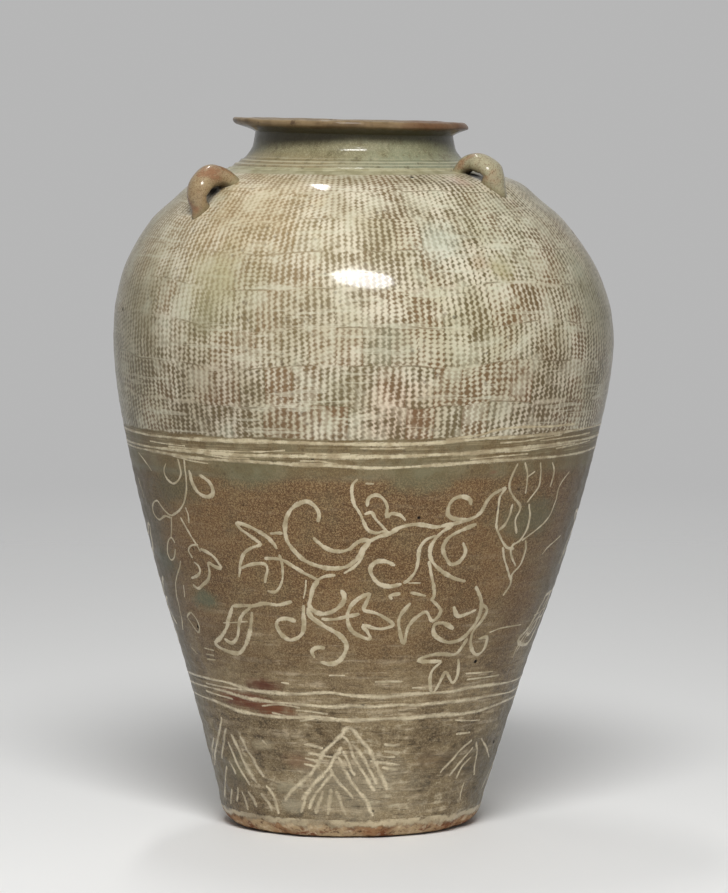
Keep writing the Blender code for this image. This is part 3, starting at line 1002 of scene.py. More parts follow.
def neck_glaze(grain):
    """The collar's glaze. Its marks go up from the foot of the collar to the lip and on into the throat."""

    def paint(write):
        place, _, climb = place_and_map(write)
        x = write.parts(place)[0]
        grains = write.group(grain, {"Place": place})
        broad = write.noise(place, 26, 3.0, 0.6)
        small = write.noise(place, 170, 3.0, 0.65)
        ragged = write.noise(place, 95, 4.0, 0.7)
        runs = write.noise(write.stretched(place, 210, 210, 30), 1.0, 3.0, 0.6)
        colour = write.two_tones((134, 136, 110), (120, 114, 86), broad, 0.40, 0.62)
        # Painted shade on the neck's right side, darker as x grows
        colour = write.wash(colour, (100, 98, 66), x, 0.005, 0.045, 0.55)
        low = write.smooth(climb, 0.012, 0.003)
        runny = write.two_tones((162, 144, 110), (138, 146, 124), x, -0.030, 0.020)
        colour = write.mix(write.times(low, 0.65), colour, runny)
        colour = write.wash(colour, (84, 78, 56), runs, 0.50, 0.68, 0.35)
        colour = write.wash(colour, (150, 146, 120), small, 0.54, 0.70, 0.5)
        colour = write.wash(colour, (92, 84, 58), small, 0.46, 0.32, 0.6)
        colour = write.wash(colour, (170, 162, 130), grains["Grain"], 0.47, 0.62, 0.4)
        level = write.plus(climb, write.swing(broad, 0.0012))
        lines = write.math("SINE", write.times(level, 2 * pi / turned_line_pitch))
        turned = write.smooth(climb, turned_lines_end + turned_lines_fade, turned_lines_end)
        crests = write.times(write.smooth(lines, 0.1, 0.9, 0.0, 0.5), turned)
        colour = write.stain(colour, (196, 190, 164), crests)
        furrows = write.times(write.smooth(lines, -0.2, -0.9, 0.0, 0.30), turned)
        colour = write.stain(colour, (96, 88, 62), furrows)
        shaded = write.smooth(x, 0.0, -0.030, 0.0, 0.0034)
        shaded = write.plus(climb, write.plus(shaded, write.smooth(x, 0.030, 0.055, 0.0, 0.0026)))
        colour = write.wash(colour, (64, 58, 40), shaded, 0.0145, 0.0205, 0.85)
        lip = write.smooth(write.plus(climb, write.swing(ragged, 0.002)), lip_starts, lip_starts + 0.0016)
        lip_rust_and_light = write.two_tones((112, 92, 64), (94, 76, 52), small, 0.42, 0.60)
        lip_rust_and_light = write.wash(lip_rust_and_light, (142, 122, 92), broad, 0.50, 0.62, 0.45)
        # Painted highlight along the top of the lip
        lip_rust_and_light = write.wash(lip_rust_and_light, (150, 132, 100), climb, 0.0264, 0.0275, 0.3)
        right = write.plus(x, write.times(small, 0.02))
        lip_rust_and_light = write.wash(lip_rust_and_light, (98, 60, 36), right, 0.020, 0.045, 0.60)
        # Painted shade on the lower part of the lip, under its roll
        lip_rust_and_light = write.wash(lip_rust_and_light, (80, 62, 40), climb, 0.0248, 0.0232, 0.5)
        lip_rust_and_light = write.wash(lip_rust_and_light, (66, 48, 32), ragged, 0.60, 0.68, 0.8)
        colour = write.mix(lip, colour, lip_rust_and_light)
        within = write.smooth(climb, throat_starts, throat_starts + 0.0055)
        colour = write.stain(colour, (104, 90, 62), within, 0.7)
        colour = write.stain(colour, (64, 50, 36), grains["Specks"], 0.4)
        colour = write.stain(colour, (26, 20, 14), grains["Pinholes"])
        rough = write.plus(write.smooth(small, 0.3, 0.7, 0.34, 0.50), write.times(lip, 0.10))
        height = write.plus(write.times(grains["Grain"], 0.4), write.times(lip, ragged, 0.9))
        height = write.minus(height, write.times(grains["Pinholes"], 2.0))
        return colour, rough, height, write.smooth(lip, 0.0, 1.0, 1.0, 0.65)

    return glazed("neck_glaze", paint, coat_roughness=0.06, bump_metres=0.00022)


def loop_glaze(name, grain, warm, pale):
    """A loop's glaze. Its marks go from 1 where the upper foot meets the wall to -1 at the lower foot."""

    def paint(write):
        place, around, climb = place_and_map(write)
        grains = write.group(grain, {"Place": place})
        broad = write.noise(place, 85, 3.0, 0.6)
        small = write.noise(write.stretched(place, 1, 1, 1.8), 330, 4.0, 0.7)
        colour = write.mix(write.smooth(broad, 0.36, 0.54), warm, pale)
        colour = write.wash(colour, (172, 158, 126), small, 0.50, 0.68, 0.45)
        colour = write.wash(colour, (112, 84, 58), grains["Grain"], 0.50, 0.62, 0.7)
        uneven = write.swing(small, 0.6)
        upper_foot = write.smooth(write.plus(climb, uneven), 0.35, 1.0)
        colour = write.stain(colour, (142, 136, 106), upper_foot, 0.6)
        lower_foot = write.smooth(write.plus(climb, uneven), -0.30, -1.1)
        colour = write.stain(colour, (112, 102, 74), lower_foot, 0.75)
        touching = write.math("ABSOLUTE", write.plus(climb, write.times(uneven, 0.5)))
        colour = write.stain(colour, (168, 158, 126), write.smooth(touching, 1.0, 1.5), 0.7)
        # Painted shade on the side of the coil that faces the wall
        underside_shade = write.smooth(write.math("SINE", write.times(around, 2 * pi)), -0.35, -0.9)
        colour = write.stain(colour, (56, 44, 30), underside_shade, 0.8)
        colour = write.stain(colour, (62, 42, 28), grains["Specks"], 0.5)
        rough = write.smooth(small, 0.3, 0.7, 0.24, 0.40)
        height = write.plus(write.times(small, 0.9), write.times(grains["Grain"], 0.3))
        return colour, rough, height, 1.0

    return glazed(name, paint, coat_roughness=0.07, bump_metres=0.00025)


# The climb whose glaze runs down onto the heel
heel_climb = 0.006


def bare_clay(grain, ground):
    """Unglazed stoneware under the foot, rusty where the flame caught it, with slip and glaze rubbed on."""

    def paint(write):
        place, around, _ = place_and_map(write)
        z = write.parts(place)[2]
        grains = write.group(grain, {"Place": place})
        broad = write.noise(place, 30, 3.0, 0.6)
        small = write.noise(place, 190, 4.0, 0.7)
        ragged = write.noise(place, 70, 4.0, 0.65)
        clay = write.two_tones((184, 160, 126), (160, 122, 88), broad, 0.40, 0.60)
        flashed = write.plus(ragged, write.swing(small, 0.5))
        clay = write.wash(clay, (120, 72, 46), flashed, 0.47, 0.57, 0.95)
        clay = write.wash(clay, (218, 200, 168), small, 0.50, 0.64, 0.75)
        clay = write.wash(clay, (84, 58, 40), small, 0.45, 0.34, 0.8)
        wall = write.group(ground, {"Place": place, "Around": around, "Climb": heel_climb})
        glaze_edge = write.plus(z, write.swing(ragged, 0.012))
        glaze_edge = write.plus(glaze_edge, write.swing(small, 0.006))
        glaze = write.smooth(glaze_edge, 0.0050, 0.0082)
        colour = write.mix(glaze, clay, wall["Colour"])
        rim = write.smooth(write.math("ABSOLUTE", write.minus(glaze_edge, 0.0088)), 0.0026, 0.0006)
        rim = write.times(rim, write.smooth(broad, 0.36, 0.56, 0.25, 0.8))
        colour = write.stain(colour, (204, 188, 156), rim)
        # Painted shadow along the bottom of the heel, where it turns under towards the floor
        contact_shade = write.smooth(z, 0.0016, 0.0002)
        colour = write.stain(colour, (62, 46, 32), contact_shade, 0.8)
        colour = write.stain(colour, (30, 22, 16), grains["Pinholes"])
        rough = write.plus(write.times(glaze, -0.40), 0.82)
        height = write.plus(write.times(small, 1.6), write.times(grains["Grain"], 0.8))
        return colour, rough, height, write.times(glaze, 0.6)

    return glazed("bare_foot_clay", paint, coat_roughness=0.12, bump_metres=0.00045)


# The cut decoration, read off the photograph


# Slip lines that run right round the jar under the stamping: width, then pixels along the front
upper_bands = (
    (
        0.0022,
        "148,434.5 165,436 182,438 200,439.3 216,440.6 240,441.6 262,442 292,442.8 327,443.4 "
        "370,443.8 402,444 428,443.6 445,442.6 474,440.2 497,438 530,436 548,433.8 574,430 592,427",
    ),
    (
        0.0024,
        "149,446 172,449 200,452 224,454.6 245,456.3 262,455.6 300,455.8 344,456.4 370,456.4 "
        "410,456.6 430,455.8 453,454.6 472,453.6 490,451.6 514,448.6 536,446 565,442.4 582,440",
    ),
    (
        0.0020,
        "160,452 189,457 215,459.2 240,461 262,462.8 280,464 300,465.6 320,465.4 340,466 360,467.6 "
        "380,467.6 402,466.8 430,465.2 453,464.2 479,462.4 505,460.8 531,458.6 548,457 566,454.5",
    ),
)
# The lines over the lotus petals
lower_bands = (
    (
        0.0019,
        "203,677.5 215,680.2 228,682 240,686.4 252,689.6 268,692 290,694.5 312,694 330,692.6 "
        "345,695.4 370,696.4 390,696.2 402,694 420,693.2 445,693 455,691.6 470,688 490,685 510,681 "
        "519,678.5",
    ),
    (
        0.0019,
        "207,687 225,691 235,694 246,697.4 260,699.6 278,703 300,704.8 320,707 335,707.4 352,705.8 "
        "375,706.4 395,704 415,705 435,703.6 456,702 470,700.2 485,696.4 500,693.4 514,690",
    ),
    (
        0.0021,
        "214,700 224,704.4 236,709.4 250,713 266,716 284,717.6 310,718 332,719.4 350,720 372,719 "
        "392,718 410,718.4 430,716.6 445,715 460,714.4 475,711.6 490,706.4 504,701",
    ),
)
# Shorter slip brush marks beside them
upper_brush_marks = (
    (0.0010, "168,446.5 185,448 200,449.6 216,450.6 240,451.6 262,451.8 285,450.4"),
    (0.0009, "150,441 165,443.6 185,446"),
    (0.0012, "300,461.2 320,461.4 338,464.6"),
    (0.0010, "305,454 330,454.6 350,454"),
    (0.0009, "360,448.6 385,449 405,448.4"),
    (0.0009, "205,454.4 225,457.6 250,459"),
    (0.0015, "446,439.6 470,436.6 482,434.8 492,431.4 505,428.6 525,427 548,426.6 575,424"),
    (0.0010, "500,443 520,441.6 540,438.6 562,434.4"),
    (0.0009, "470,459.4 500,456.4 528,453.8"),
    (0.0010, "505,452 530,450 552,446.6 575,443"),
    (0.0009, "540,441 565,437.5 590,432.5"),
    (0.0010, "556,448.5 575,444.5 590,440"),
    (0.0009, "172,455.5 190,460.5 208,463.5"),
)
lower_brush_marks = (
    (0.0009, "262,706 275,704.6 290,706 300,708"),
    (0.0011, "272,712.6 286,716"),
    (0.0010, "296,710.4 312,711.8 328,714"),
    (0.0013, "300,721 325,717.4 345,720.6"),
    (0.0009, "375,682 385,681.4 402,681"),
    (0.0009, "412,688 425,687.6"),
    (0.0008, "466,674 480,673"),
    (0.0009, "206,683 230,688 252,690.5"),
    (0.0009, "455,720 470,720.6 480,720"),
    (0.0009, "329,675.5 345,675.4"),
    (0.0013, "281,682.5 289,683.5"),
    (0.0010, "206,690.5 222,696 233,699"),
)
# The vine scroll of the frieze: width, then pixels along each stroke
scroll_strokes = (
    (0.0013, "177.5,458.5 179.5,465.5 181,472.5 178.5,480 173.5,483.5 167.5,479.5 164,471.5 166,463.5"),
    (0.0013, "184,459.5 185.5,473 186.5,485 185,499 180.5,509 172.5,515.5"),
    (
        0.0024,
        "199.5,475 203.5,477.5 209,482 213,489.5 211.5,495.5 204.5,496.5 196.5,490.5 191.5,480.5 "
        "189,470",
    ),
    (0.0012, "172.5,515.5 169,514.5 163,508.5 157,500.5 152.5,506 153.5,512.5 159,519.5 165,516 171.5,518"),
    (0.0010, "171.5,517 171.5,526.5 171,536.5"),
    (0.0012, "175,543 171.5,537.5 168,542 167.5,551.5 170.5,559.5 174,558 175.5,549"),
    (0.0013, "185.5,507.5 188,514 189,523"),
    (0.0013, "180.5,517.5 185.5,526.5 191,536 197,545.5 200.5,551.5"),
    (
        0.0020,
        "200.5,549 209.5,553.5 216.5,560 221,568 214.5,566.5 208.5,563 209.5,573 208,580 202.5,585 "
        "198.5,588.5 193,585",
    ),
    (0.0013, "198,545 191.5,545.5 188.5,550.5 192.5,558"),
    (0.0016, "194,562 198.5,566 200,572 196,576.5 191.5,578"),
    (0.0010, "180.5,561 179.5,568 176.5,578 176,590 179,605.5 182,619.5 183,629.5"),
    (0.0011, "190.5,612 187.5,617 192.5,625 198.5,632.5 199.5,628 196,618.5 191,612"),
    (0.0010, "183.5,585 184.5,597"),
    (0.0009, "138.5,452.5 146,462.5 151.5,470.5"),
    (0.0009, "138.5,478 142,489.5 144,498"),
    (0.0009, "191.5,647.5 197.5,654"),
    (0.0009, "204.5,648 214,650.5"),
    (0.0009, "206,654 214,655.5"),
    (0.0009, "207,659 215.5,660"),
    (
        0.0024,
        "318,522 319,514 314.5,506 307,501.5 299,503.5 290.5,510 286,519.5 285,530 287,540.5 294,550.5 "
        "304,560 318,566 332,568.5 345.5,567 354.5,561.5 360.5,554.5 365.5,547.5 370,542.5",
    ),
    (0.0022, "313,537.5 319.5,543.5 328.5,549.5 338.5,551.5 349,549.5 356,543.5 363,540 371.5,541"),
    (0.0016, "270,533.5 282.5,533"),
    (0.0022, "235.5,523 244,524.5 256,530 266.5,536.5 273,543 277,549"),
    (
        0.0019,
        "235.5,523 240.5,529 247.5,534 256.5,540.5 260.5,544.5 251,548 244.5,553 241,561 240,569.5 "
        "239,577",
    ),
    (0.0018, "241.5,568 247.5,565.5 257.5,563.5 265.5,564.5 267.5,569.5 265.5,578 265,583"),
    (0.0015, "267.5,591 275,592 280,586.5 282.5,578.5 282.5,567.5 281.5,561 279,554.5"),
    (0.0020, "264.5,558.5 275,558.5 283.5,560.5 294,567 306,574 318,580"),
    (0.0018, "314.5,586 318,580 325,576.5 335.5,575"),
    (0.0015, "344,573.5 352.5,568 359.5,561.5 364.5,551.5"),
    (
        0.0025,
        "318,580 313,588.5 311,597 309.5,605.5 314.5,611.5 323,614 333.5,611 342,604 344.5,596.5 "
        "341,590",
    ),
    (0.0010, "306,580 305.5,588.5 303.5,598.5"),
    (
        0.0024,
        "303.5,605 303.5,616 304,626.5 301,635 292,640 283.5,636.5 277.5,628 277.5,621 285.5,618.5 "
        "296,621",
    ),
    (
        0.0026,
        "307.5,607.5 310.5,616 319.5,623 330,629.5 340.5,636 346.5,645 344.5,654 338.5,661.5 330,664 "
        "320.5,662",
    ),
    (0.0024, "325,648 317,647.5 312,651 314.5,658"),
    (0.0020, "321.5,619 333.5,619.5 347.5,616.5 359.5,614"),
    (
        0.0024,
        "233,605.5 229.5,616 226.5,628 221.5,636.5 215.5,643.5 223.5,649.5 239,653 245.5,645 250,631.5 "
        "251.5,619.5 252,612",
    ),
    (0.0020, "224.5,639 232,643 237.5,636.5 239,624.5 242,615.5 251,607"),
    (0.0021, "233,606 244,605.5 252.5,606 264.5,603.5 278.5,605 292,601.5"),
    (0.0008, "223.5,623 233.5,622.5 247.5,621.5"),
    (0.0022, "370,593 361,597 352.5,604 348,612.5 348,623 352.5,631.5 361,636.5 368.5,639.5"),
    (
        0.0020,
        "349,608 357,599.5 369.5,593.5 366.5,602 364,610 374,612.5 384.5,617.5 393,625 379.5,629 "
        "363,625.5 368,633 370.5,639 360.5,636.5 350,630.5",
    ),
    (0.0016, "350,617 359.5,614"),
    (
        0.0018,
        "357.5,479 352.5,485 352,495.5 355,506 360.5,514.5 364,523 368,530 376,533 384.5,531.5 "
        "388.5,533.5",
    ),
    (0.0019, "367,506.5 369,498 376,495 382.5,498 387,506 387,517 391.5,513.5 400,515 405.5,520.5"),
    (0.0017, "364.5,514.5 371.5,512.5 376,519.5 382.5,526.5 388.5,533.5"),
    (0.0012, "365.5,483.5 374,484"),
    (
        0.0023,
        "350,563.5 357.5,558.5 362,550.5 369,542 379.5,536.5 389.5,533.5 400,527.5 413.5,524.5 424,525 "
        "436,527 446.5,525 460,522 472,518.5 481,512 487.5,500.5 494.5,493.5 506,487.5",
    ),
    (0.0023, "471,505 470,499.5 462,496.5 454,499 449,506 448,514.5 453.5,518.5 467,519.5"),
    (0.0022, "453.5,524.5 443,531.5 434.5,540 430,550.5 432,561 441.5,571 453.5,578 465.5,581.5"),
    (0.0020, "436,535.5 426,540 419.5,549 418,561 415.5,571 408.5,580 403.5,583"),
    (0.0024, "401.5,584 389.5,586.5 379.5,584 372.5,576.5 370.5,567.5 377.5,561.5 386,561.5 395,565.5"),
    (
        0.0022,
        "476.5,524 467,528 455,533.5 446.5,540 443,549 446.5,559 451.5,564.5 460,561 465.5,552 "
        "463,542.5",
    ),
    (0.0019, "429,561 431,573 433.5,585 434,595.5 431,601"),
    (
        0.0020,
        "431.5,599.5 440.5,610 438,617 432,621 426,612 417,617 408.5,626.5 403.5,643.5 398.5,623 "
        "401.5,614 410.5,603",
    ),
    (0.0022, "392,599.5 390,596 400.5,593.5"),
    (0.0016, "410.5,592.5 426,596"),
    (
        0.0024,
        "475.5,586.5 479,593.5 481.5,604 479,616 472,628 462,638.5 450,642.5 439.5,639 433.5,632.5 "
        "435,624.5 443,623 453.5,629",
    ),
    (
        0.0020,
        "482.5,604 487,610 482.5,619.5 473,631.5 470.5,642 473,652 478.5,654.5 484.5,648 487,637.5 "
        "478.5,639",
    ),
    (0.0022, "453.5,606.5 457.5,616 467,614 476,610"),
    (0.0022, "467.5,638.5 462,647 455,654.5 443,654 429,655.5 418,660.5 426,661.5 441.5,661"),
    (
        0.0019,
        "441.5,661.5 433,669.5 430,678 432,693.5 439.5,683 445.5,672 452.5,683 456.5,678 458.5,667.5 "
        "458,659",
    ),
    (0.0015, "518,463.5 512.5,475 509.5,487 513.5,497 520.5,507.5 515.5,519.5 516.5,533.5"),
    (0.0012, "525,462.5 527.5,475 525.5,493.5"),
    (0.0010, "527.5,477 535,471.5"),
    (0.0013, "540.5,462.5 540.5,476.5 538.5,487 527,502.5"),
    (0.0012, "552.5,462.5 554,473 550,487"),
    (0.0015, "506.5,487.5 500,497 498,511 496.5,526.5 500,536.5 506.5,547 514,549"),
    (0.0018, "512.5,504 510,514.5 505,524.5 499,530"),
    (0.0015, "529,504 530,516 527.5,528 520.5,540 512.5,545.5 511,554 515.5,566"),
    (0.0015, "525.5,540.5 525.5,550.5 520.5,564.5 512,574.5 510,585 503,595.5"),
    (0.0015, "503,547 504,557.5 508.5,573 511,580"),
    (0.0011, "569.5,471.5 560,485 555,502.5 548,518 536,530 522,540.5"),
    (0.0010, "542,554.5 548,547 560.5,535.5"),
    (0.0012, "512.5,657.5 518.5,645 527.5,631.5 536,619.5 541.5,615.5"),
    (0.0009, "516,652 524,640 532.5,626.5"),
    (0.0009, "489.5,632.5 501.5,628 521,624.5"),
    (0.0009, "465.5,673.5 493,671.5"),
    (0.0010, "467,679.5 499,675"),
    (0.0013, "379.5,682.5 402.5,681.5"),
    (0.0010, "413.5,687.5 426,688.5"),
    (0.0008, "408.5,583 420.5,583"),
)
# The part of the scroll that is drawn again at the sides, and how far round it is turned
branch_strokes = (20, 41)
branch_turns = (radians(111), radians(-78))
# The lotus petals round the foot, the middle one first
petal_strokes = (
    (
        0.0021,
        "350,727.5 345,729 343,734 338,738 332,744.5 324,751.5 321,758 318,764.5 314,769 311,774 "
        "306,778 298,785.5 293,789 289,794.5 285,801",
    ),
    (
        0.0020,
        "350,727.5 354,731 358,736.5 363,742.5 368,747.5 371,753.5 374,760 377,765.5 379,771 382,777 "
        "385,783.5 387,790",
    ),
    (0.0016, "343,736 348,741.5 351,748 353,755.5 356,761 360,768 364,773.5 368,780.5 371,786.5 375,791"),
    (0.0018, "352,744.5 358,750 363,758 367,764.5 370,771 374,778 377,784"),
    (0.0020, "341,746.5 339,752 335,757 332,762 330,767 325,772.5 321,777 315,782.5 307,792.5 302,800"),
    (0.0015, "343,751 346,756.5 349,763.5 351,770 355,775.5"),
    (
        0.0020,
        "338,757 341,762 343,767 346,772.5 350,780 354,785.5 359,792 364,797.5 368,804.5 370,810 "
        "373,816",
    ),
    (0.0017, "331,769 332,774.5 329,778 324,783.5 320,789 316,793 312,801 309,809"),
    (0.0016, "333,775 338,782 343,787 348,792 353,798"),
    (0.0018, "311,790 306,796 304,803 301,813"),
    (0.0018, "323,791 321,799 318,805 316,814"),
    (0.0019, "331,789 330,797 329,804 328,815"),
    (0.0018, "336,791 340,800 342,807 346,815"),
    (0.0018, "221.5,717 220.5,726 219,733 217.5,740.5 216,748.5 214.5,765"),
    (0.0018, "226.5,728.5 225,733 224,740.5 223,748.5 222,758.5"),
    (0.0021, "231,734 234,739.5 237,746 240,752.5 243,759.5 247,767.5 252,776 257,783"),
    (0.0019, "240,736 244,743 248,751.5 253,758.5 257,767 261,772.5 264,777"),
    (0.0019, "228,741.5 231,748.5 234,756 238,765 242,772.5 246,778.5 250,785"),
    (0.0015, "229,760.5 233,767.5 236,774"),
    (0.0016, "227,766 225.5,778.5 225,797"),
    (0.0017, "238,787.5 238,795 237,801.5"),
    (0.0019, "242,791.5 246,802 248,810"),
    (0.0019, "248,791.5 253,798.5 257,807"),
    (0.0020, "261,793 266,799.5 270,805 272,811"),
    (0.0018, "266,785.5 272,793 275,799.5 277,807 279,814"),
    (0.0013, "214,738 212,750 211,762"),
    (0.0013, "232,789 231,797 231,804"),
    (0.0015, "472,740 464,746.5 458,752.5 453,759 444,768 440,773"),
    (0.0014, "473,747 466,755.5 459,763.5 453,771 449,776"),
    (0.0012, "471,757 462,766.5 456,779"),
    (0.0014, "476,742 477,752 475,763.5 474,775"),
    (0.0012, "464,782.5 461,792 460,800"),
    (0.0012, "481,738 486,747 489,757"),
    (0.0014, "304,744.5 311,745 323,748.5"),
    (0.0014, "308,753 317,754.5 327,756.5 333,757"),
    (0.0013, "304,764 309,765 315,766.5"),
    (0.0013, "305,758 313,760 320,761"),
    (0.0015, "384,744.5 393,745.5 400,744.5"),
    (0.0014, "384,751.5 392,752 400,752.5"),
    (0.0013, "377,755 386,757 395,757"),
    (0.0014, "370,761 378,762 388,763.5 400,765"),
    (0.0014, "382,767.5 390,769 398,770"),
    (0.0013, "456,734 470,732.5"),
    (0.0013, "262,740 267,745"),
)
middle_petal_strokes = 13
petals_round = 7


# Pieces

slip_proud = 0.00007
stroke_step = 0.0009
fine_reach = 0.0014
fine_row_length = 0.00028
lining_row_length = 0.0040
lining_ripple = 0.0003
lining_mark = 1.0
around_jar = np.arange(wall_columns) * 2 * pi / wall_columns - pi


def finish(made, material, node=None):
    """Colours a piece and ties it to the frame."""
    made.data.materials.append(material)
    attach(made, "root")
    if node:
        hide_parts(node)


def wall_rows_between(low, high, fine):
    """Climbs from high down to low, with more rows near the fine places."""
    rows = list(np.linspace(low, high, int((high - low) / row_length) + 2))
    for place in fine:
        rows += list(np.arange(place - fine_reach, place + fine_reach, fine_row_length))
    return np.unique([row for row in rows if low <= row <= high])[::-1]


def shell(name, high, low, extra_rings, lining_high, lining_low, material, node):
    """A turned half of the body: its outside, the rings that close it and its lining.

    Each ring carries a mark, which is its climb, and a climb inside is marked from lining_mark on.
    """
    outer = wall_rows_between(low, high, groove_climbs)
    rings = [on_wall(around_jar, climb) for climb in outer]
    marks = list(outer)
    lining = inward(outline, body_wall)
    for radius, height in extra_rings[0]:
        rings.append(placed(around_jar, radius, height))
        marks.append(low)
    steps = int((lining_high - lining_low) / lining_row_length) + 2
    for climb in np.linspace(lining_low, lining_high, steps):
        radius, height = (float(np.interp(climb, climbs, lining[:, side])) for side in (0, 1))
        ripple = lining_ripple * sin(2 * pi * climb / ring_pitch)
        rings.append(placed(around_jar, radius + ripple, height))
        marks.append(lining_mark + climb)
    for radius, height in extra_rings[1]:
        rings.append(placed(around_jar, radius, height))
        marks.append(high if radius > throat_radius else lining_mark + high)
    finish(turned_skin(name, np.stack(rings), marks, True), material, node)


# Where the lining meets the floor, how far below the collar it ends, and the edge under the collar
floor_climb = 0.0065
roof_drop = 0.004
collar_edge = 0.0026
collar_edge_bevel = 0.002


def make_body(material):
    """The two thrown halves of the wall, which meet at the seam."""
    seam = climb_at(seam_height)
    foot_inside = (foot_radius - body_wall, base_thickness)
    closing = ([foot_inside], [])
    shell("lower_body_wall", seam, 0.0, closing, seam, floor_climb, material, "lower_body")
    shelf = collar_height - collar_edge
    edge = [(throat_radius, shelf - roof_drop), (throat_radius, shelf)]
    edge += [(collar_radius - collar_edge_bevel, shelf), (collar_radius, shelf)]
    roof = climb_at(collar_height) - roof_drop
    shell("upper_body_wall", top_climb, seam, ([], edge), roof, seam, material, "upper_body")


heel_rows = 18
spigot_bevel = 0.001
recess_slope = 0.005
nick_depth = 0.00045
scar_depth = 0.0007


def make_base(material):
    """The floor disc: a worn, roughly trimmed heel, the contact ring and the recess."""
    spigot = foot_radius - body_wall
    above = [(spigot * 0.5, floor_height), (spigot - spigot_bevel, floor_height)]
    above += [(spigot, floor_height - spigot_bevel), (spigot, base_thickness)]
    heel = []
    for step in range(heel_rows + 1):
        angle = pi / 2 * step / heel_rows
        radius = contact_radius + (foot_radius - contact_radius) * cos(angle)
        heel.append((radius, base_thickness * (1 - sin(angle))))
    recess_edge = contact_radius - contact_ring_width
    below = [(contact_radius - contact_ring_width / 2, 0.0), (recess_edge, 0.0)]
    below += [(recess_edge - recess_slope, base_recess), (recess_edge * 0.5, base_recess)]
    profile = above + heel + below
    rings = []
    a = around_jar
    for row, (radius, height) in enumerate(profile):
        heel_row = row - len(above)
        worn = sin(pi * heel_row / heel_rows) ** 0.7 if 0 < heel_row < heel_rows else 0.0
        nicks = np.sin(7 * a + 1.0) + np.sin(11 * a + 2.2) + np.sin(19 * a + 0.4)
        nicks = nicks + 0.8 * np.sin(31 * a + row * 0.35)
        scars = np.maximum(0, np.sin(5 * a + 2.0) + np.sin(13 * a + 0.9) - 0.9)
        cut = worn * (nick_depth * (1.9 + nicks / 2) + scar_depth * scars)
        rings.append(placed(a, radius - cut, np.full_like(a, height) + 0.3 * cut * (height > 0.002)))
    marks = [height for _, height in profile]
    poles = [placed(np.array(0.0), 0.0, height) for height in (floor_height, base_recess)]
    made = turned_skin("base_disc_clay", np.stack(rings), marks, False, *poles)
    finish(made, material, "base_disc")


# The two low ridges turned at the foot of the collar
ridge_height = 0.0006
ridge_sharpness = 0.0008
ridge_shares = (0.10, 0.36)
# The lip is turned over by this much, and the collar's underside lies this far below its foot
lip_roll = radians(165)
lip_steps = 12
collar_underside = 0.0023
# The marks that the collar's skin carries outside, going up, and in the throat, going down
top_mark = 0.0276
throat_marks = (0.045, 0.028)


def make_collar(material):
    """The neck with its turned ridges, and the lip, a little uneven all the way round."""
    lip_centre = (rim_radius - lip_roundness, jar_height - lip_roundness)
    lip = []
    for step in range(lip_steps + 1):
        angle = pi / 2 - lip_roll * step / lip_steps
        lip.append((lip_centre[0] + lip_roundness * cos(angle), lip_centre[1] + lip_roundness * sin(angle)))
    foot, top = (collar_radius, collar_height), (neck_radius, neck_top_height)
    flare = smooth_through(between(foot, top, neck_shares), 8)[::-1]
    ridge_radii = [neck_radius + (collar_radius - neck_radius) * (1 - share) for share in ridge_shares]
    ridges = [np.exp(-(((flare[:, 0] - radius) / ridge_sharpness) ** 2)) for radius in ridge_radii]
    flare[:, 1] += ridge_height * sum(ridges)
    under = smooth_through([lip[-1], (neck_radius + 0.0022, neck_top_height + 0.0012), flare[0]], 6)[1:-1]
    shelf = collar_height - collar_underside
    throat = [
        (throat_radius, shelf),
        (throat_radius, neck_top_height - 0.0027),
        (throat_radius + 0.0027, jar_height - 0.0032),
        ((rim_radius + neck_radius) / 2, jar_height - 0.0004),
        lip[0],
    ]
    throat = smooth_through(throat, 7)[1:-1]
    profile = np.array([*lip, *under, *flare, (collar_radius, shelf), (throat_radius, shelf), *throat])
    seen_rows = len(lip) + len(under) + len(flare)
    marks = list(np.interp(profile[:seen_rows, 1], (shelf, jar_height), (0.0, top_mark)))
    marks += [0.0, 0.0, *np.linspace(*throat_marks, len(throat))]
    rings = []
    a = around_jar
    for (radius, height), mark in zip(profile, marks):
        near_lip = eased(mark, 0.021, 0.026) if mark < 0.03 else eased(0.036 - mark, 0.0, 0.007)
        uneven = np.sin(a * 3 + 0.6) + np.sin(a * 5 + 2.0) + 0.7 * np.sin(a * 11 + 1.0) + 0.5 * np.sin(a * 23)
        drop = 0.00012 * (3.2 - uneven) * near_lip
        rows = 0.00003 * (1 + np.sin(height * 2600 + a)) * (1 - near_lip)
        rings.append(placed(a, radius - rows - 0.6 * drop, height - drop))
    made = turned_skin("neck_collar_glazed", np.stack(rings), marks, True)
    finish(made, material, "neck_collar")


# How much wider than thick the loops' clay is, at the upper foot, crown and lower foot
coil_flatness = (1.30, 1.38, 1.20)
# How far each foot is smeared along the shoulder, and how near the wall the smearing begins
upper_smear = 0.0004
lower_smear = 0.0046
smear_reach = 0.0022
upper_flare = 0.0003
lower_flare = 0.0
# How round the arch is, 1 being an ellipse, and how far its crown sags downhill
arch_roundness = 0.89
crown_sag = 0.0020
coil_columns = 36
coil_rows = 76
coil_turn = (radians(-16), radians(196))
# Azimuth, distance out from the collar, run, rise, then coil radius at the upper foot, crown and lower foot
coil_loops = {
    "front_left_loop": (radians(-52.0), 0.0205, 0.0172, 0.0103, 0.0053, 0.0054, 0.0041),
    "front_right_loop": (radians(54.0), 0.0050, 0.0185, 0.0093, 0.0042, 0.0054, 0.0056),
    "back_left_loop": (radians(-142.0), 0.0145, 0.0182, 0.0099, 0.0048, 0.0053, 0.0048),
    "back_right_loop": (radians(142.0), 0.0128, 0.0184, 0.0100, 0.0048, 0.0052, 0.0047),
}


def shoulder_place(radius):
    """The climb at which the shoulder has a radius."""
    rising = climbs > climb_at(belly_height)
    return float(np.interp(-radius, -outline[rising][:, 0], climbs[rising]))


